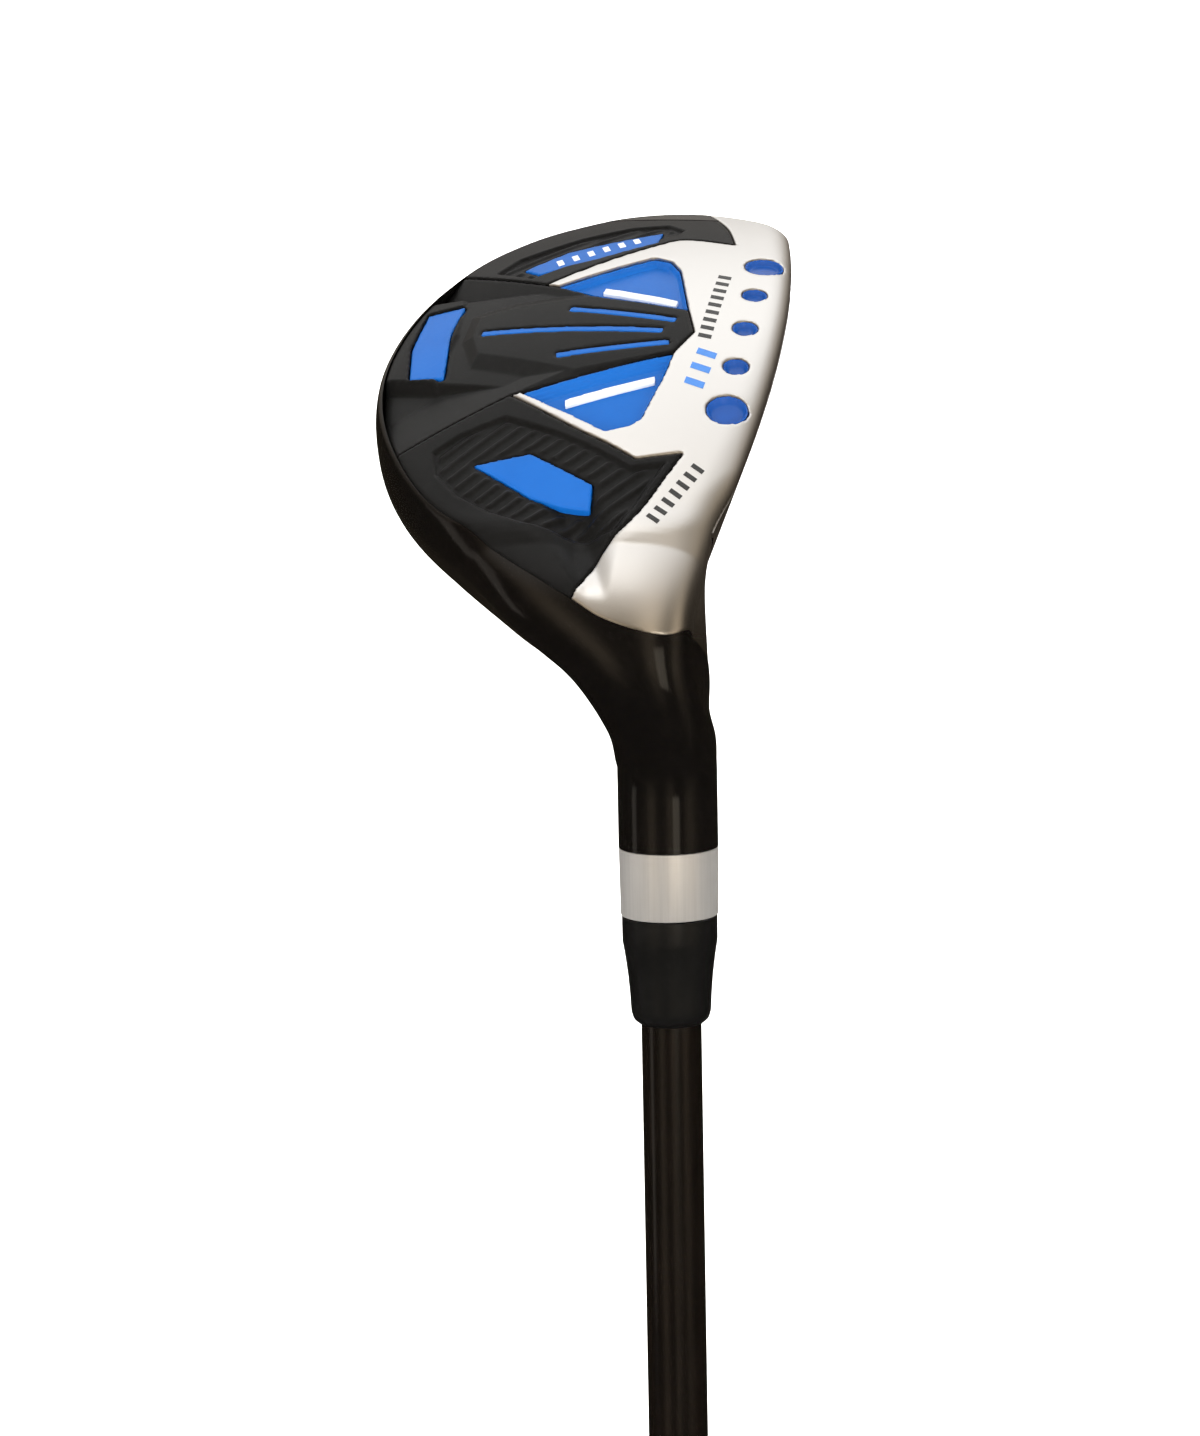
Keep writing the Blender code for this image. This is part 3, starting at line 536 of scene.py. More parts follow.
def beside(start, end, x, y):
    """Distance from a line, whichever side."""
    (ax, ay), (bx, by) = start, end
    return np.abs((x - ax) * (by - ay) - (y - ay) * (bx - ax)) / math.hypot(bx - ax, by - ay)


def keel_depth(x, y):
    fall = np.minimum(ridge(ARROW, ARROW_FALL, x, y), ridge(REAR_BLOCK, REAR_FALL, x, y) + BLOCK_DEPTH)
    fall = np.minimum(fall, ridge(SHELF, SHELF_FALL, x, y) + SHELF_DEPTH)
    for start, end, slope in ((HEEL_BACK, REAR_HEEL_CORNER, HEEL_LAND), (TOE_BACK, REAR_TOE_CORNER, TOE_LAND)):
        fall = np.minimum(fall, 0.12 + slope * beside(start, end, x, y))
    return np.minimum(fall, VALLEY)


grooves = [(stripe_edge(ends, STRIPE_WIDTH + 0.5), 0.55) for ends in STRIPES]
centre_panel = sole_piece("centre_panel_relief", CENTRE_OUTLINE, 2.4,
                          hollows=[*grooves, (moved_edge(REAR_WINDOW, 0.15), 1.0)])
pressed(centre_panel, keel_depth)
rear_window = pressed(inlay("rear_window_enamel", REAR_WINDOW, 0.3, 1.6), lambda x, y: BLOCK_DEPTH + 0 * x)
stripes = [inlay(f"keel_stripe_{number}", stripe_edge(ends, STRIPE_WIDTH + 0.3), 0.12, 0.9, 0.16, 2)
           for number, ends in enumerate(STRIPES, 1)]
print("centre panel:", len(centre_panel.data.polygons), "faces")

# %% [markdown]
# The heel and toe panels are alike: a smooth band round the outside, then a step down to a ribbed field with a blue
# window standing in it. The ribs run at 45 degrees and die out at the step, as moulded ones do.

# %% Heel and toe panels
HEEL_FIELD = ((-35.6, 12.9), (-32.0, 16.0), (-25.5, 19.0), (-16.6, 14.9), (-10.6, 11.5), (-5.9, 8.4), (-0.7, 9.6),
              (-5.2, -0.6), (-6.6, -3.2), (-10.6, -4.2), (-15.3, -3.3), (-20.5, -2.1), (-25.4, 0.2), (-30.7, 3.8),
              (-34.5, 8.3))
TOE_FIELD = ((-33.8, 58.6), (-27.5, 55.2), (-12.5, 67.2), (-7.5, 70.5), (-6.6, 73.0), (-9.5, 75.6), (-15.0, 74.6),
             (-22.5, 70.2), (-31.0, 63.5))
HEEL_WINDOW = ((-28.8, 9.8), (-19.7, 3.1), (-15.2, 1.3), (-10.9, 0.6), (-11.1, 5.2), (-20.8, 11.3))
TOE_WINDOW = ((-29.4, 59.6), (-26.7, 57.5), (-18.1, 61.7), (-10.2, 67.6), (-10.2, 72.6), (-23.6, 65.5))
RIB_PITCH = 2.15
FIELD_DEPTH, RIB_HEIGHT = 0.55, 0.32


def ribbed_field(field, window, x, y):
    inside = edge_distance(field, x, y)
    clear = -edge_distance(window, x, y)
    ribs = 0.5 + 0.5 * np.cos(2 * np.pi * (x - y) / math.sqrt(2) / RIB_PITCH)
    shown = ease((inside - 0.5) / 0.9) * ease((clear - 0.5) / 0.7)
    return FIELD_DEPTH * ease(inside / 0.7) - RIB_HEIGHT * ribs**2 * shown


heel_panel = sole_piece("heel_panel_relief", HEEL_OUTLINE, 2.2, hollows=[(moved_edge(HEEL_WINDOW, 0.12), 0.9)])
pressed(heel_panel, lambda x, y: ribbed_field(HEEL_FIELD, HEEL_WINDOW, x, y))
toe_panel = sole_piece("toe_panel_relief", TOE_OUTLINE, 2.2, hollows=[(moved_edge(TOE_WINDOW, 0.12), 0.9)])
pressed(toe_panel, lambda x, y: ribbed_field(TOE_FIELD, TOE_WINDOW, x, y))
heel_window = inlay("heel_window_enamel", HEEL_WINDOW, 0.42, 1.9)
toe_window = inlay("toe_window_enamel", TOE_WINDOW, 0.42, 1.9)
print("side panels:", len(heel_panel.data.polygons), len(toe_panel.data.polygons), "faces")

# %% [markdown]
# The silver front of the sole carries five dimples, and its edges stand round two blue pockets. A dimple is a bowl
# lined with paint, so the paint is its own cup-shaped piece.

# %% Silver sole, dots and pockets
DOT_FIRST, DOT_PITCH = (6.3, 20.6), (0.2, 9.75)
DOT_RADII = (3.0, 1.9, 1.9, 1.9, 2.9)
DOT_DEPTH = 1.0
DOT_SIDES = 48


def dot_place(number):
    return tuple(first + number * pitch for first, pitch in zip(DOT_FIRST, DOT_PITCH))


def ring_outline(centre, radius):
    turn = np.linspace(0, 2 * np.pi, DOT_SIDES, endpoint=False)
    return [(centre[0] + radius * math.cos(a), centre[1] + radius * math.sin(a)) for a in turn]


def bowl(centre, radius, deep):
    def depth(x, y):
        return deep * ease((radius - np.hypot(x - centre[0], y - centre[1])) / 0.9)

    return depth


dimples = [(ring_outline(dot_place(i), radius), 1.9) for i, radius in enumerate(DOT_RADII)]
silver_sole = sole_piece("silver_sole", SILVER_OUTLINE, 2.6, hollows=dimples, deeper=[(CHEEK, CHEEK_DEPTH)])
dots = []
for i, radius in enumerate(DOT_RADII):
    cup = inlay(f"dot_cup_{i + 1}", ring_outline(dot_place(i), radius - 0.05), 0.12, 0.7, 0.14, 3)
    dots.append(pressed(cup, bowl(dot_place(i), radius, DOT_DEPTH - 0.12)))

# Ramps of each side of a pocket, in the order of its outline, and the floor's depth
FLOOR = 1.35
HEEL_RAMPS = (0.7, 0.5, 0.5, 0.7, 0.7, 2.5)
TOE_RAMPS = (0.8, 0.8, 0.8, 1.4, 1.0, 1.2)


def pocket_depth(outline, ramps, rough_side):
    def depth(x, y):
        inside = -side_distances(outline, x, y)
        share = (inside / np.array(ramps)[:, None]).clip(0, 1)
        wall = share.min(axis=0)
        lines = 0.07 * np.sin(2 * np.pi * inside[rough_side] / 0.62) * (share[rough_side] < 1) * (share.argmin(axis=0) == rough_side)
        return (FLOOR - 0.3) * ease(wall) + lines

    return depth


heel_pocket = inlay("heel_pocket_tray", moved_edge(HEEL_POCKET, -SEAM), 0.3, 1.0)
pressed(heel_pocket, pocket_depth(HEEL_POCKET, HEEL_RAMPS, 5))
toe_pocket = inlay("toe_pocket_tray", moved_edge(TOE_POCKET, -SEAM), 0.3, 1.0)
pressed(toe_pocket, pocket_depth(TOE_POCKET, TOE_RAMPS, 3))
HEEL_BAR = ((-17.2, 21.2), (-4.8, 26.5), (-5.0, 27.9), (-17.4, 22.6))
TOE_BAR = ((-15.9, 50.3), (-4.4, 46.3), (-4.2, 47.9), (-15.7, 51.9))
heel_bar = inlay("heel_bar_raised", HEEL_BAR, 0.75, 1.6, 0.14, 4)
toe_bar = inlay("toe_bar_raised", TOE_BAR, 0.75, 1.6, 0.14, 4)
print("silver sole:", len(silver_sole.data.polygons), "faces")

# %% [markdown]
# The black casting keeps the clean quads of the head's skin, because gloss paint would show any unevenness. It is
# opened at the sole, the face and the crown, hollowed, and bored for the shaft.

# %% Black casting and crown
BORE_RADIUS, BORE_END = 4.4, 22.0
CROWN_OUTLINE = curve((-5.0, 6.0), (-3.0, 40.0), (-6.0, 66.0), (-14.0, 74.0), (-27.0, 66.0), (-36.0, 50.0),
                      (-38.0, 34.0), (-32.0, 17.0), (-22.0, 6.0), (-5.0, 6.0))[:-1]
FACE_PLATE, FACE_HEEL_END = 2.0, 0.0


def front_of_face(name, depth, heel_end):
    """Everything in front of a surface that lies this deep behind the face."""
    bpy.ops.mesh.primitive_grid_add(x_subdivisions=60, y_subdivisions=90, size=1)
    obj = bpy.context.object
    obj.name = name
    share = coordinates(obj)[:, :2] + 0.5
    z, y = -50 + share[:, 0] * 60, heel_end + share[:, 1] * (92 - heel_end)
    flat = np.stack((np.zeros(len(y)), y, z), axis=1)
    move_to(obj, np.stack((-past_face(flat) - depth, y, z), axis=1))
    ahead = {"TRANSFORM_OT_translate": {"value": (45, 0, 0)}}
    return in_edit(obj, (bpy.ops.mesh.extrude_region_move, ahead), *OUTWARD)


def bore(name):
    toward = Matrix.Rotation(math.radians(LIE - 90), 4, "X")
    bpy.ops.mesh.primitive_cylinder_add(vertices=64, radius=BORE_RADIUS, depth=60)
    obj = bpy.context.object
    obj.name = name
    obj.data.transform(toward @ Matrix.Translation((0, 0, -BORE_END - 30)))
    return obj


combined(hollow_head, "DIFFERENCE", slab("hollow_floor", [(-62, -12), (32, 92)], -25.0, WALL + 1.0, 2.0),
         front_of_face("hollow_front", FACE_PLATE + 0.6, -14.0))
casting = twin(whole_head, "black_casting")
combined(casting, "DIFFERENCE", twin(hollow_head, "hollow"), layer("sole_opening", OPENING, -6.0, 3.5), layer("cheek_opening", CHEEK, -6.5, CHEEK_DEPTH + 0.05),
         front_of_face("face_opening", FACE_PLATE, FACE_HEEL_END), block("crown_opening", CROWN_OUTLINE, DEEP, -20),
         bore("shaft_bore"))
crown = twin(whole_head, "crown_cover")
combined(crown, "DIFFERENCE", twin(hollow_head, "hollow"))
combined(crown, "INTERSECT", block("crown_edge", moved_edge(CROWN_OUTLINE, -0.02), DEEP, -20))
print("casting:", len(casting.data.polygons), "faces; crown:", len(crown.data.polygons), "faces")

# %% [markdown]
# The face is a steel plate with straight score lines milled across its middle. One groove is a thin three-sided
# bar laid along the face; the others are copies of it set one pitch apart.

# %% Face plate with score lines
SCORE_PITCH, SCORE_LINES, SCORE_START = 3.6, 8, -6.4
SCORE_FROM, SCORE_TO, SCORE_DEPTH = 26.0, 66.0, 0.45


def score_line(number):
    """V-shaped bar that dips into the face at one height."""
    bpy.ops.mesh.primitive_cylinder_add(vertices=3, radius=1, depth=1, end_fill_type="NGON")
    obj = bpy.context.object
    obj.name = f"score_{number}"
    z = SCORE_START - number * SCORE_PITCH
    trim = max(0.0, number - 4) * 2.2
    y0, y1 = SCORE_FROM + trim, SCORE_TO - trim
    at = np.array([(0.0, y, z) for y in (y0, y1)])
    bottom = -past_face(at) - SCORE_DEPTH
    places = []
    for y, x in ((y0, bottom[0]), (y1, bottom[1])):
        places += [(x, y, z), (x + 1.2, y, z + 1.1), (x + 1.6, y, z - 0.2)]
    ends = coordinates(obj)[:, 2] > 0
    order = np.argsort(ends, kind="stable")
    points = coordinates(obj)
    points[order] = places
    move_to(obj, points)
    return in_edit(obj, *OUTWARD)


face_plate = twin(whole_head, "scored_face")
combined(face_plate, "INTERSECT", front_of_face("face_slab", FACE_PLATE - 0.05, FACE_HEEL_END))
combined(face_plate, "DIFFERENCE", slab("face_foot", [(-62, -14), (32, 92)], -6.0, 2.68))
combined(face_plate, "DIFFERENCE", *[score_line(number) for number in range(SCORE_LINES)])
print("face:", len(face_plate.data.polygons), "faces")

# %% [markdown]
# Everything on the shaft axis is turned. A ring of points is drawn once and then extruded and scaled step by step
# along a profile, down the outside and back up the bore, as a lathe would cut it.

# %% Turned pieces
TURNED_SIDES = 96


def turned(name, profile, sides=TURNED_SIDES):
    """Ring of material on the shaft axis. The profile is (radius, height), out along one side and back."""
    radius, height = profile[0]
    bpy.ops.mesh.primitive_circle_add(vertices=sides, radius=radius, fill_type="NOTHING", location=(0, 0, height))
    obj = bpy.context.object
    obj.name = name
    bpy.ops.object.transform_apply(location=True)
    steps = []
    for (near, start), (far, end) in zip(profile, profile[1:]):
        grow = {"value": (far / near, far / near, 1), "center_override": (0, 0, end)}
        rise = {"TRANSFORM_OT_translate": {"value": (0, 0, end - start)}}
        steps += [(bpy.ops.mesh.extrude_region_move, rise), (bpy.ops.transform.resize, grow)]
    in_edit(obj, *steps)
    closing = (bpy.ops.mesh.bridge_edge_loops, {})
    return in_edit(obj, (bpy.ops.mesh.select_all, {"action": "DESELECT"}), (bpy.ops.mesh.select_non_manifold, {}),
                   closing, *OUTWARD)


def rounded_corners(profile, radius):
    """Profile with each of its corners cut twice, which leaves a small round."""
    points = [np.array(place, dtype=float) for place in profile]
    done = []
    for before, here, after in zip(points[-1:] + points[:-1], points, points[1:] + points[:1]):
        back, ahead = before - here, after - here
        first = here + back * min(0.4, radius / np.linalg.norm(back))
        last = here + ahead * min(0.4, radius / np.linalg.norm(ahead))
        for t in (0.0, 0.35, 0.65, 1.0):
            done.append(tuple((1 - t) ** 2 * first + 2 * t * (1 - t) * here + t * t * last))
    return done


def below(distance):
    """Height of a place measured down the shaft from the ground line."""
    return GROUND - distance


FERRULE_TOP = 76.6
TIP_RADIUS, BUTT_RADIUS, TIP_PARALLEL = 4.25, 7.6, 150.0
hosel_ring = turned("hosel_band", rounded_corners(
    [(6.98, below(HOSEL_TOP + 0.1)), (6.85, below(RING_TOP - 0.1)), (4.5, below(RING_TOP - 0.1)),
     (4.5, below(HOSEL_TOP + 0.1))], 0.22))
ferrule = turned("ferrule_turned", rounded_corners(
    [(6.72, below(RING_TOP)), (6.70, below(64.6)), (6.35, below(66.8)), (5.98, below(69.7)), (5.75, below(72.5)),
     (5.62, below(74.9)), (5.3, below(75.9)), (4.75, below(76.35)), (4.4, below(FERRULE_TOP)),
     (4.4, below(RING_TOP))], 0.3))


def shaft_radius(height):
    taper_top = GROUND - TIP_PARALLEL
    return TIP_RADIUS + (BUTT_RADIUS - TIP_RADIUS) * max(0.0, (taper_top - height) / taper_top)


SHAFT_WALL = 1.3
shaft_heights = [below(22.3), *np.linspace(below(TIP_PARALLEL), 6.3, 24)]
shaft_outer = [(shaft_radius(height), height) for height in shaft_heights]
shaft = turned("shaft_tube", shaft_outer + [(radius - SHAFT_WALL, height) for radius, height in shaft_outer[::-1]])

# %% [markdown]
# The grip is rubber moulded over the butt. Its sleeve narrows towards the head, and is cut by rows of short slanted
# grooves in bands, with plain collars between them. The grooves are real dents in a fine mesh.

# %% Grip
GRIP_LENGTH, CAP_THICKNESS = 268.0, 6.0
GRIP_PROFILE = np.array(((13.28, 6.1), (13.2, 15.0), (12.4, 60.0), (11.2, 130.0), (10.2, 200.0), (9.35, 262.0),
                         (9.1, 267.0), (8.7, 267.9)))
TEXTURE_BANDS = ((24.0, 84.0), (94.0, 154.0), (164.0, 214.0), (224.0, 254.0))
GROOVES_AROUND, GROOVE_RISE, GROOVE_DEPTH = 30, 0.21, 0.35


def grip_outline():
    heights = np.concatenate((np.linspace(6.1, 262, 430), (264, 266, 267, 267.6, 267.9)))
    return [(float(np.interp(h, GRIP_PROFILE[:, 1], GRIP_PROFILE[:, 0])), float(h)) for h in heights]


def grooved(obj):
    """Dents a diamond of crossing grooves into each textured band."""
    points = coordinates(obj)
    radius, height = np.hypot(points[:, 0], points[:, 1]), points[:, 2]
    turn = np.arctan2(points[:, 1], points[:, 0]) * GROOVES_AROUND / 2
    left, right = (np.abs(np.cos(turn + sign * height * GROOVE_RISE * math.pi)) for sign in (1, -1))
    line = np.maximum(ease((left - 0.93) / 0.06), ease((right - 0.93) / 0.06))
    band = sum(ease((height - low) / 1.5) * ease((high - height) / 1.5) for low, high in TEXTURE_BANDS)
    outer = radius > np.interp(height, GRIP_PROFILE[::1, 1], GRIP_PROFILE[:, 0]) - 0.05
    points[:, :2] *= (1 - GROOVE_DEPTH * line * band * outer / radius)[:, None]
    return move_to(obj, points)


inner = [(shaft_radius(height) + 0.86, height) for height in (267.9, 200.0, 130.0, 60.0, 6.1)]
grip_sleeve = grooved(turned("grip_rubber_sleeve", grip_outline() + inner, 220))
grip_cap = turned("grip_rubber_cap", rounded_corners(
    [(13.3, CAP_THICKNESS), (13.35, 3.6), (13.0, 1.6), (12.2, 0.5), (11.0, 0.02), (8.0, 0.02), (7.6, 0.5), (2.4, 0.5),
     (2.0, 0.02), (1.5, 0.02), (1.5, CAP_THICKNESS)], 0.25))
print("grip:", len(grip_sleeve.data.polygons), "faces")

# %% [markdown]
# Where a real club carries words, this one carries plain marks: a row of slanted bars by the heel, one behind the
# dots, and a row on the toe window. They are paint, so each is a thin sliver that stands a hair proud.

# %% Painted marks
MARK_PROUD, MARK_DEEP = 0.035, 0.3
PAINT_ROUND = 0.1


def slanted_bars(start, end, count, width, tall, lean):
    """Outlines of equal bars along a line on the sole."""
    start, end = np.array(start), np.array(end)
    along = (end - start) / np.linalg.norm(end - start)
    up = np.array((-along[1], along[0]))
    outlines = []
    for share in np.linspace(0, 1, count):
        centre = start + (end - start) * share
        foot, head = centre - up * tall / 2 - along * lean / 2, centre + up * tall / 2 + along * lean / 2
        outlines.append([tuple(p) for p in (foot - along * width / 2, foot + along * width / 2,
                                            head + along * width / 2, head - along * width / 2)])
    return outlines


def painted(name, outlines, ground):
    """One mesh of thin slivers that lie on a piece of the sole."""
    made = [layer(f"{name}_{i}", outline, -MARK_PROUD, MARK_DEEP, 0.5) for i, outline in enumerate(outlines)]
    bpy.ops.object.select_all(action="DESELECT")
    for obj in made:
        obj.select_set(True)
    bpy.context.view_layer.objects.active = made[0]
    bpy.ops.object.join()
    made[0].name = name
    bpy.context.view_layer.update()

    def depth(x, y):
        found = [ground.ray_cast((across, along, HIGH), (0, 0, -1)) for across, along in zip(x, y)]
        return sole(x, y) - np.array([place.z for _, place, _, _ in found])

    return pressed(made[0], depth)


heel_marks = painted("heel_mark_bars", slanted_bars((-1.7, -1.2), (3.5, 8.4), 7, 0.75, 2.1, 0.3), silver_sole)
front_marks = painted("front_mark_bars", slanted_bars((1.9, 54.6), (1.2, 37.2), 9, 0.95, 2.0, 0.4), silver_sole)
blue_marks = painted("front_blue_bars", slanted_bars((2.0, 32.8), (1.1, 25.8), 3, 1.4, 3.0, 0.8), silver_sole)
toe_marks = painted("toe_mark_bars", slanted_bars((-24.2, 61.3), (-13.6, 68.9), 6, 1.0, 2.0, 0.5), toe_window)
print("marks:", sum(len(obj.data.polygons) for obj in (heel_marks, front_marks, blue_marks, toe_marks)), "faces")

# %% [markdown]
# Finishes are written as expressions. A small class stands for a value that flows through a material, so that
# a sum or a product of two of them adds the Math node by itself.

# %% Writing materials


class Flow:
    """A value in a material's node tree."""

    def __init__(self, tree, socket):
        self.tree, self.socket = tree, socket

    def math(self, operation, *others):
        node = self.tree.nodes.new("ShaderNodeMath")
        node.operation = operation
        for slot, value in zip(node.inputs, (self, *others)):
            connect(self.tree, slot, value)
        return Flow(self.tree, node.outputs[0])

    def __add__(self, other):
        return self.math("ADD", other)

    def __mul__(self, other):
        return self.math("MULTIPLY", other)

    def __sub__(self, other):
        return self.math("SUBTRACT", other)

    def __rsub__(self, other):
        return (self * -1.0) + other

    def __pow__(self, other):
        return self.math("POWER", other)

    __radd__, __rmul__ = __add__, __mul__

    def held(self):
        """The value kept between 0 and 1."""
        return self.math("MAXIMUM", 0.0).math("MINIMUM", 1.0)


def connect(tree, slot, value):
    if isinstance(value, Flow):
        tree.links.new(value.socket, slot)
    else:
        slot.default_value = value


class Finish:
    """A material and the few moves that its recipe is made of."""

    def __init__(self, name, **constants):
        self.material = bpy.data.materials.new(name)
        self.material.use_nodes = True
        self.tree = self.material.node_tree
        self.shader = self.tree.nodes["Principled BSDF"]
        self.set(**constants)

    def set(self, **values):
        for name, value in values.items():
            connect(self.tree, self.shader.inputs[name.replace("_", " ").title().replace("Ior", "IOR")], value)

    def node(self, kind, settings=None, output=0, **values):
        made = self.tree.nodes.new("ShaderNode" + kind)
        for name, value in (settings or {}).items():
            if name == "stops":
                for stop, (place, colour) in zip(made.color_ramp.elements, value):
                    stop.position, stop.color = place, colour
            else:
                setattr(made, name, value)
        for name, value in values.items():
            slot = made.inputs[int(name[1:])] if name[1:].isdigit() else made.inputs[name.replace("_", " ")]
            connect(self.tree, slot, value)
        return Flow(self.tree, made.outputs[output])

    def place(self, scale=(1.0, 1.0, 1.0), turn=(0.0, 0.0, 0.0)):
        """Object coordinates, scaled and turned."""
        where = self.node("TexCoord", output=3)
        return self.node("Mapping", Vector=where, Scale=scale, Rotation=turn)

    def noise(self, scale, detail=2.0, stretch=(1.0, 1.0, 1.0), turn=(0.0, 0.0, 0.0), rough=0.5):
        return self.node("TexNoise", Vector=self.place(stretch, turn), Scale=scale, Detail=detail, Roughness=rough)

    def mix(self, share, first, second):
        node = self.tree.nodes.new("ShaderNodeMix")
        node.data_type = "RGBA"
        for slot, value in zip((node.inputs[0], node.inputs[6], node.inputs[7]), (share, first, second)):
            connect(self.tree, slot, value)
        return Flow(self.tree, node.outputs[2])

    def bump(self, height, distance, strength=1.0):
        self.set(normal=self.node("Bump", Height=height, Distance=distance, Strength=strength))


def black(level, warm=0.0):
    return (level + warm, level, level - warm / 2, 1.0)


# %% [markdown]
# The front of the sole is stainless steel with a fine satin blast: pale, even, with a soft reflection. Towards the
# heel the blast fades and the steel is polished. Fine noise moves the roughness, and finer noise is the grain.

# %% Satin silver
HEEL_POLISH_FROM, HEEL_POLISH_TO = 0.990, 1.004  # heights on the club, in metres


def satin_silver():
    made = Finish("satin_silver", metallic=1.0)
    height = made.node("SeparateXYZ", output=2, Vector=made.node("TexCoord", output=3))
    polished = ((HEEL_POLISH_TO - height) * (1 / (HEEL_POLISH_TO - HEEL_POLISH_FROM))).held()
    cloud = made.noise(90.0, 4.0)
    grain = made.noise(9000.0, 2.0)
    made.set(base_color=made.mix(cloud, (0.80, 0.79, 0.775, 1), (0.85, 0.84, 0.825, 1)),
             roughness=0.40 + cloud * 0.08 - polished * 0.24)
    made.bump(grain, 0.00003, 0.35)
    return made.material


def blue_enamel():
    made = Finish("blue_enamel", specular_ior_level=0.2, roughness=0.35)
    cloud = made.noise(160.0, 3.0)
    made.set(base_color=made.mix(cloud, (0.002, 0.090, 0.37, 1), (0.005, 0.110, 0.43, 1)))
    made.bump(made.noise(1400.0, 2.0), 0.00004, 0.3)
    return made.material


def dot_enamel():
    made = Finish("dot_enamel", specular_ior_level=0.3, roughness=0.25)
    cloud = made.noise(200.0, 3.0)
    made.set(base_color=made.mix(cloud, (0.004, 0.052, 0.25, 1), (0.009, 0.075, 0.33, 1)))
    made.bump(made.noise(1400.0, 2.0), 0.00004, 0.3)
    return made.material


def panel_black():
    made = Finish("panel_black", specular_ior_level=0.12)
    cloud = made.noise(120.0, 4.0)
    made.set(base_color=made.mix(cloud, black(0.004), black(0.007)), roughness=0.34 + cloud * 0.10)
    made.bump(made.noise(5200.0, 3.0), 0.00004, 0.5)
    return made.material


def gloss_black():
    made = Finish("gloss_black", specular_ior_level=0.4)
    cloud = made.noise(60.0, 3.0)
    made.set(base_color=made.mix(cloud, black(0.0012), black(0.0025, 0.0008)), roughness=0.09 + cloud * 0.06)
    made.bump(made.noise(260.0, 2.0), 0.00002, 0.10)
    return made.material


def ring_silver():
    made = Finish("ring_silver", metallic=0.8)
    fine = made.noise(2600.0, 3.0, stretch=(1.0, 1.0, 0.02))
    cloud = made.noise(300.0, 2.0)
    made.set(base_color=made.mix(fine, (0.66, 0.64, 0.61, 1), (0.82, 0.80, 0.77, 1)),
             roughness=0.30 + fine * 0.14 + cloud * 0.06)
    made.bump(fine, 0.00002, 0.4)
    return made.material


def ferrule_black():
    made = Finish("ferrule_black", specular_ior_level=0.35)
    cloud = made.noise(220.0, 3.0)
    made.set(base_color=made.mix(cloud, black(0.0025), black(0.004)), roughness=0.30 + cloud * 0.10)
    made.bump(made.noise(1200.0, 2.0, stretch=(1.0, 1.0, 4.0)), 0.00003, 0.3)
    return made.material


def shaft_black():
    made = Finish("shaft_black", specular_ior_level=0.4, coat_weight=0.2, coat_roughness=0.05)
    weave = made.noise(500.0, 2.0, stretch=(1.0, 1.0, 0.12))
    made.set(base_color=made.mix(weave, black(0.001), black(0.003, 0.002)), roughness=0.16 + weave * 0.08)
    made.bump(made.noise(600.0, 2.0, stretch=(1.0, 1.0, 0.3)), 0.00002, 0.1)
    return made.material


def paint(name, dark, light, rough):
    made = Finish(name, coat_weight=0.1)
    cloud = made.noise(400.0, 2.0)
    made.set(base_color=made.mix(cloud, dark, light), roughness=rough + cloud * 0.1)
    made.bump(made.noise(2500.0, 2.0), 0.00002, 0.3)
    return made.material


def grip_rubber():
    made = Finish("grip_rubber", specular_ior_level=0.35)
    cloud = made.noise(40.0, 4.0)
    made.set(base_color=made.mix(cloud, black(0.010), black(0.018, 0.001)), roughness=0.62 + cloud * 0.16)
    made.bump(made.noise(3500.0, 4.0), 0.00012, 0.6)
    return made.material


def grain_of(name, dark, light, rough, scale):
    """Cork, tape and bare metal that are mostly out of sight."""
    made = Finish(name)
    grain = made.noise(scale, 5.0)
    made.set(base_color=made.mix(grain, dark, light), roughness=rough + grain * 0.15)
    made.bump(grain, 0.0001, 0.5)
    return made.material


finishes = {
    "silver": satin_silver(), "blue": blue_enamel(), "dot": dot_enamel(), "panel": panel_black(),
    "gloss": gloss_black(), "ring": ring_silver(), "ferrule": ferrule_black(), "shaft": shaft_black(),
    "bar": paint("silver_bar_paint", (0.70, 0.74, 0.78, 1), (0.80, 0.83, 0.86, 1), 0.3),
    "black_mark": paint("black_mark_paint", black(0.012), black(0.02), 0.4),
    "blue_mark": paint("blue_mark_paint", (0.03, 0.16, 0.50, 1), (0.05, 0.20, 0.58, 1), 0.35),
    "white_mark": paint("white_mark_paint", (0.66, 0.70, 0.80, 1), (0.78, 0.81, 0.88, 1), 0.4),
    "rubber": grip_rubber(),
    "cork": grain_of("cork_grain", (0.22, 0.12, 0.06, 1), (0.50, 0.33, 0.18, 1), 0.7, 900.0),
    "tape": grain_of("paper_tape", (0.52, 0.46, 0.35, 1), (0.66, 0.61, 0.50, 1), 0.7, 1500.0),
    "steel": grain_of("slug_steel", (0.30, 0.29, 0.27, 1), (0.48, 0.46, 0.44, 1), 0.4, 700.0),
}
finishes["steel"].node_tree.nodes["Principled BSDF"].inputs["Metallic"].default_value = 1.0
print("finishes:", ", ".join(sorted(finishes)))

# %% [markdown]
# Each finished piece is carried to its place on the club, and the solid that it stands for is hidden. The
# pieces that nobody sees, such as the tip weight and the tape, keep their solids and only get a finish.

# %% Putting the club together


def settle(obj, finish, slot, *nodes, place=ON_HEAD, smooth=35):
    obj.data.transform(place)
    obj.data.materials.clear()
    obj.data.materials.append(finishes[finish])
    pick(obj)
    bpy.ops.object.shade_smooth_by_angle(angle=math.radians(smooth), keep_sharp_edges=False)
    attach(obj, "root")
    if nodes:
        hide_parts(*nodes)


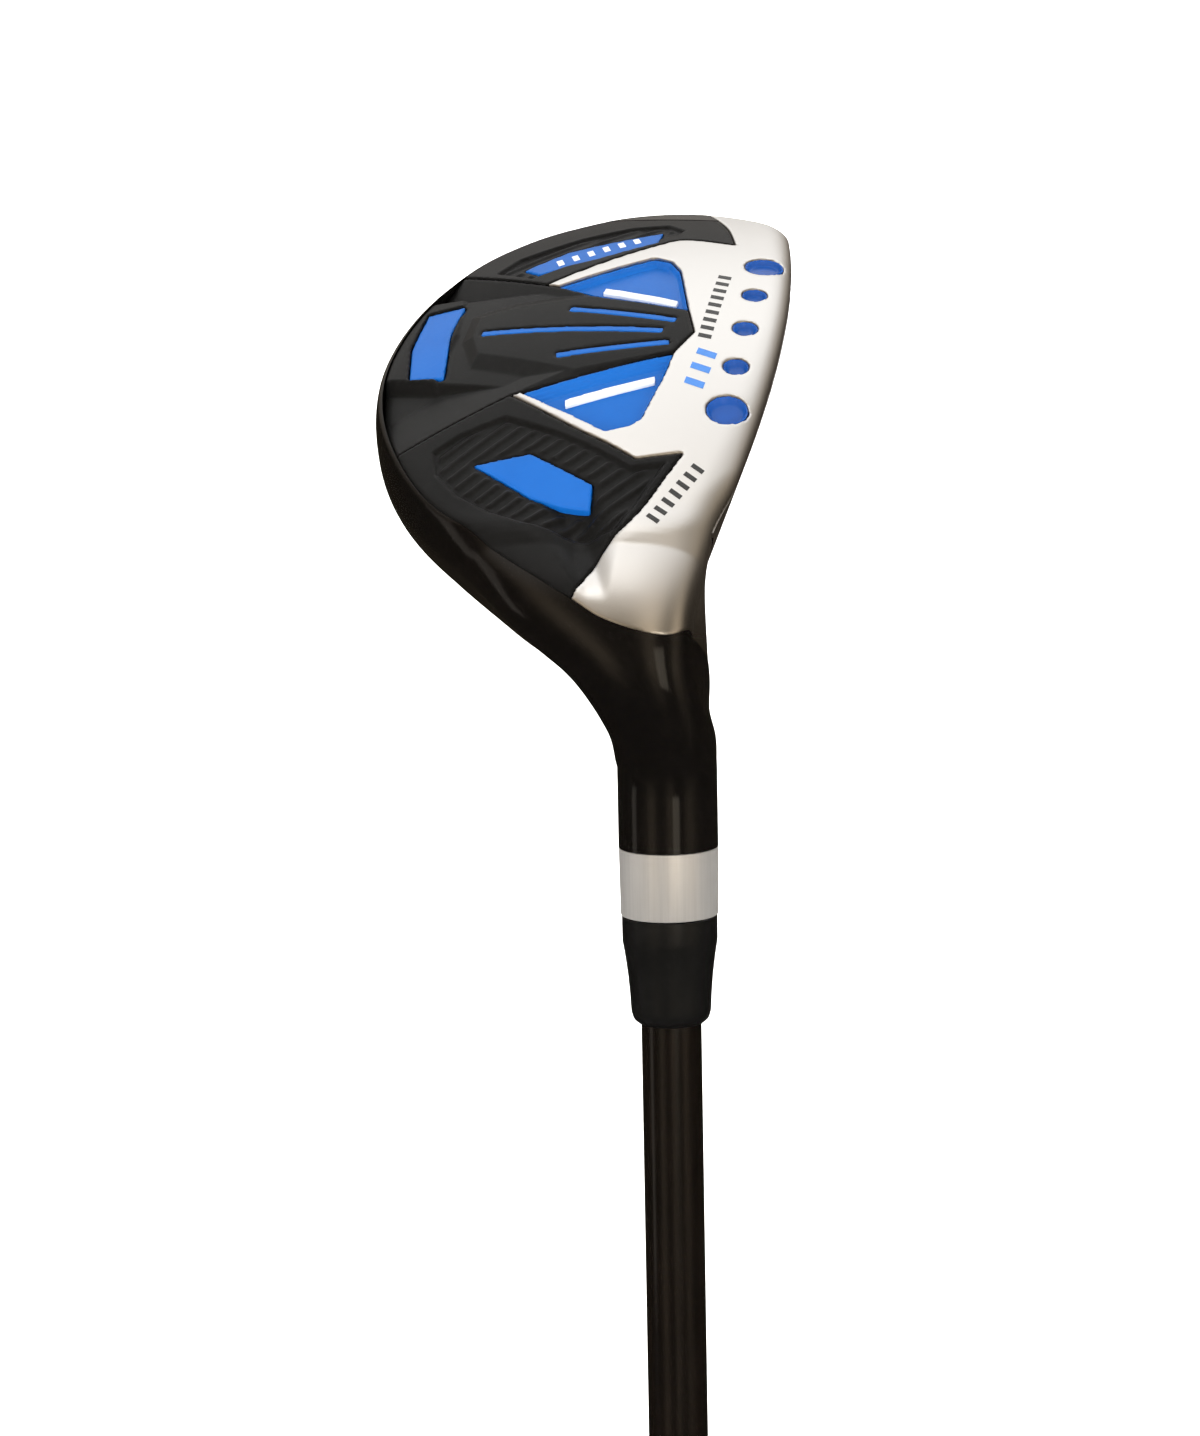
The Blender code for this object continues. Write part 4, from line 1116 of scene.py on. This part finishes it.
for guide in (whole_head, hollow_head):
    bpy.data.objects.remove(guide)
settle(casting, "gloss", "body_black", "head_body")
settle(crown, "gloss", "body_black", "crown")
settle(face_plate, "silver", "silver_satin", "face_plate")
settle(silver_sole, "silver", "silver_satin", "sole_plate", smooth=60)
settle(heel_panel, "panel", "panel_black", "heel_panel", smooth=60)
settle(toe_panel, "panel", "panel_black", "toe_panel", smooth=60)
settle(centre_panel, "panel", "panel_black", "centre_panel", smooth=60)
for obj, node in ((heel_window, "heel_window"), (toe_window, "toe_window"), (rear_window, "rear_window"),
                  (heel_pocket, "heel_pocket"), (toe_pocket, "toe_pocket")):
    settle(obj, "blue", "blue_enamel", node, smooth=60)
for number, (obj, cup) in enumerate(zip([*stripes, None, None], dots), 1):
    settle(cup, "dot", "blue_enamel", f"sole_dot_{number}", smooth=60)
    if obj:
        settle(obj, "blue", "blue_enamel", f"stripe_{number}", smooth=60)
settle(heel_bar, "bar", "silver_bar", "heel_bar", smooth=60)
settle(toe_bar, "bar", "silver_bar", "toe_bar", smooth=60)
settle(heel_marks, "black_mark", "panel_black")
settle(front_marks, "black_mark", "panel_black")
settle(blue_marks, "blue_mark", "blue_enamel")
settle(toe_marks, "white_mark", "silver_bar")
settle(hosel_ring, "ring", "ring_silver", "hosel_ring", place=ON_CLUB)
settle(ferrule, "ferrule", "ferrule_black", "ferrule", place=ON_CLUB)
settle(shaft, "shaft", "shaft_black", "shaft", place=ON_CLUB)
settle(grip_sleeve, "rubber", "grip_rubber", "grip_sleeve", place=ON_CLUB)
settle(grip_cap, "rubber", "grip_rubber", "grip_cap", place=ON_CLUB)
for node, finish in (("rear_weight", "steel"), ("tip_weight", "steel"), ("tip_plug", "cork"), ("grip_tape", "tape")):
    solid = frame["nodes"][node]
    solid.data.materials.clear()
    solid.data.materials.append(finishes[finish])

# %% [markdown]
# The studio is a pale bowl: a round floor whose rim curves up into a wall, so that no horizon shows. It is kept out
# of reflections, which leaves the gloss black free to mirror a dim room and a few soft lights, as it would in a
# small studio.

# %% Studio
BOWL_RADIUS, BOWL_HEIGHT, BOWL_CURVE = 5.0, 6.0, 1.5


def studio_bowl():
    flat = BOWL_RADIUS - BOWL_CURVE
    bpy.ops.mesh.primitive_circle_add(vertices=96, radius=flat, fill_type="NOTHING")
    obj = bpy.context.object
    obj.name = "studio_floor"
    steps = [(bpy.ops.mesh.extrude_region_move, {}), (bpy.ops.mesh.merge, {"type": "CENTER"}),
             (bpy.ops.mesh.select_all, {"action": "DESELECT"}), (bpy.ops.mesh.select_non_manifold, {})]
    angles = np.radians(np.linspace(0, 90, 13))
    for start, end in zip(angles, angles[1:]):
        near, far = (flat + BOWL_CURVE * math.sin(angle) for angle in (start, end))
        rise = {"TRANSFORM_OT_translate": {"value": (0, 0, BOWL_CURVE * (math.cos(start) - math.cos(end)))}}
        steps += [(bpy.ops.mesh.extrude_region_move, rise),
                  (bpy.ops.transform.resize, {"value": (far / near, far / near, 1), "center_override": (0, 0, 0)})]
    steps.append((bpy.ops.mesh.extrude_region_move,
                  {"TRANSFORM_OT_translate": {"value": (0, 0, BOWL_HEIGHT - BOWL_CURVE)}}))
    in_edit(obj, *steps)
    bpy.ops.object.shade_smooth()
    return obj


bowl_finish = Finish("studio_paper", roughness=0.9, specular_ior_level=0.1)
paper = bowl_finish.noise(3.0, 2.0)
bowl_finish.set(base_color=bowl_finish.mix(paper, (0.93, 0.93, 0.93, 1), (0.95, 0.95, 0.95, 1)),
                emission_color=(1.0, 1.0, 1.0, 1), emission_strength=0.80)
studio = studio_bowl()
studio.data.materials.append(bowl_finish.material)
studio.visible_glossy = False
studio.visible_shadow = False


def softbox(name, place, aim, size, power, colour=(1.0, 1.0, 1.0)):
    light = bpy.data.lights.new(name, "AREA")
    light.shape = "RECTANGLE"
    light.size, light.size_y = size
    light.energy = power
    light.color = colour
    obj = bpy.data.objects.new(name, light)
    bpy.context.scene.collection.objects.link(obj)
    obj.location = place
    obj.rotation_euler = (Vector(aim) - Vector(place)).to_track_quat("-Z", "Y").to_euler()
    return obj


HEAD_CENTRE = (0.0, 0.02, 1.03)
softbox("ceiling_softbox", (-0.2, 0.9, 2.7), HEAD_CENTRE, (2.2, 1.6), 7.0)
softbox("window_strip", (1.05, -1.95, 1.2), HEAD_CENTRE, (0.6, 1.5), 3.4, (1.0, 0.88, 0.70))
softbox("small_window", (-0.40, -0.55, 3.1), HEAD_CENTRE, (0.3, 0.3), 3.0, (1.0, 0.98, 0.95))
softbox("left_card", (-2.2, -0.6, 1.2), HEAD_CENTRE, (0.5, 2.0), 1.5, (1.0, 0.90, 0.80))

world = bpy.data.worlds.new("dim_room")
bpy.context.scene.world = world
world.use_nodes = True
sky = world.node_tree
background = sky.nodes["Background"]
direction = sky.nodes.new("ShaderNodeTexCoord")


def facing(toward):
    """How much a direction faces a side of the room, from -1 to 1."""
    node = sky.nodes.new("ShaderNodeVectorMath")
    node.operation = "DOT_PRODUCT"
    node.inputs[1].default_value = Vector(toward).normalized()
    sky.links.new(direction.outputs["Generated"], node.inputs[0])
    return Flow(sky, node.outputs["Value"])


overhead = ((facing((-0.10, 0.34, 0.93)) - 0.42) * 2.3).held()
toward_camera = ((facing((0.15, -1.0, 0.10)) - 0.05) * 1.6).held()
sideways = facing((1.0, 0.15, 0.0))
bands = (sideways * 9.0 + 0.6).math("SINE") * 0.5 + 0.5
above_floor = ((facing((0.0, 0.0, 1.0)) + 0.55) * 1.6).held()
room_side = toward_camera * above_floor * (bands ** 2.0 * 0.62 + 0.06)
tint = sky.nodes.new("ShaderNodeMix")
tint.data_type = "RGBA"
tint.inputs[6].default_value = (1.0, 0.80, 0.56, 1)
tint.inputs[7].default_value = (1.0, 0.98, 0.95, 1)
connect(sky, tint.inputs["Factor"], overhead)
sky.links.new(tint.outputs[2], background.inputs["Color"])
connect(sky, background.inputs["Strength"], overhead * 0.72 + room_side + 0.02)
bpy.context.scene.view_settings.view_transform = "Standard"

# %% [markdown]
# The camera looks at the sole from a little above the head and to the face side, from half a metre away, with a
# long lens, which keeps the shaft nearly straight down the picture.

# %% Camera
AZIMUTH, ELEVATION, ROLL = (math.radians(angle) for angle in (10.5, 8.5, 1.12))
LENS, SENSOR = 98.4, 36.0
back = Vector((math.sin(AZIMUTH) * math.cos(ELEVATION), -math.cos(AZIMUTH) * math.cos(ELEVATION),
               math.sin(ELEVATION)))
level = back.cross(Vector((0, 0, 1))).normalized() * -1
upright = back.cross(level)
right = level * math.cos(ROLL) - upright * math.sin(ROLL)
up = upright * math.cos(ROLL) + level * math.sin(ROLL)
lens = bpy.data.cameras.new("camera")
lens.lens, lens.sensor_height, lens.sensor_fit = LENS, SENSOR, "VERTICAL"
lens.clip_end = 50.0
camera = bpy.data.objects.new("camera", lens)
bpy.context.scene.collection.objects.link(camera)
turn = Matrix((right, up, back)).transposed().to_4x4()
camera.matrix_world = Matrix.Translation((0.08952, -0.53372, GROUND * MM + 0.04782)) @ turn
bpy.context.scene.camera = camera
print("camera at", [round(v, 3) for v in camera.location])
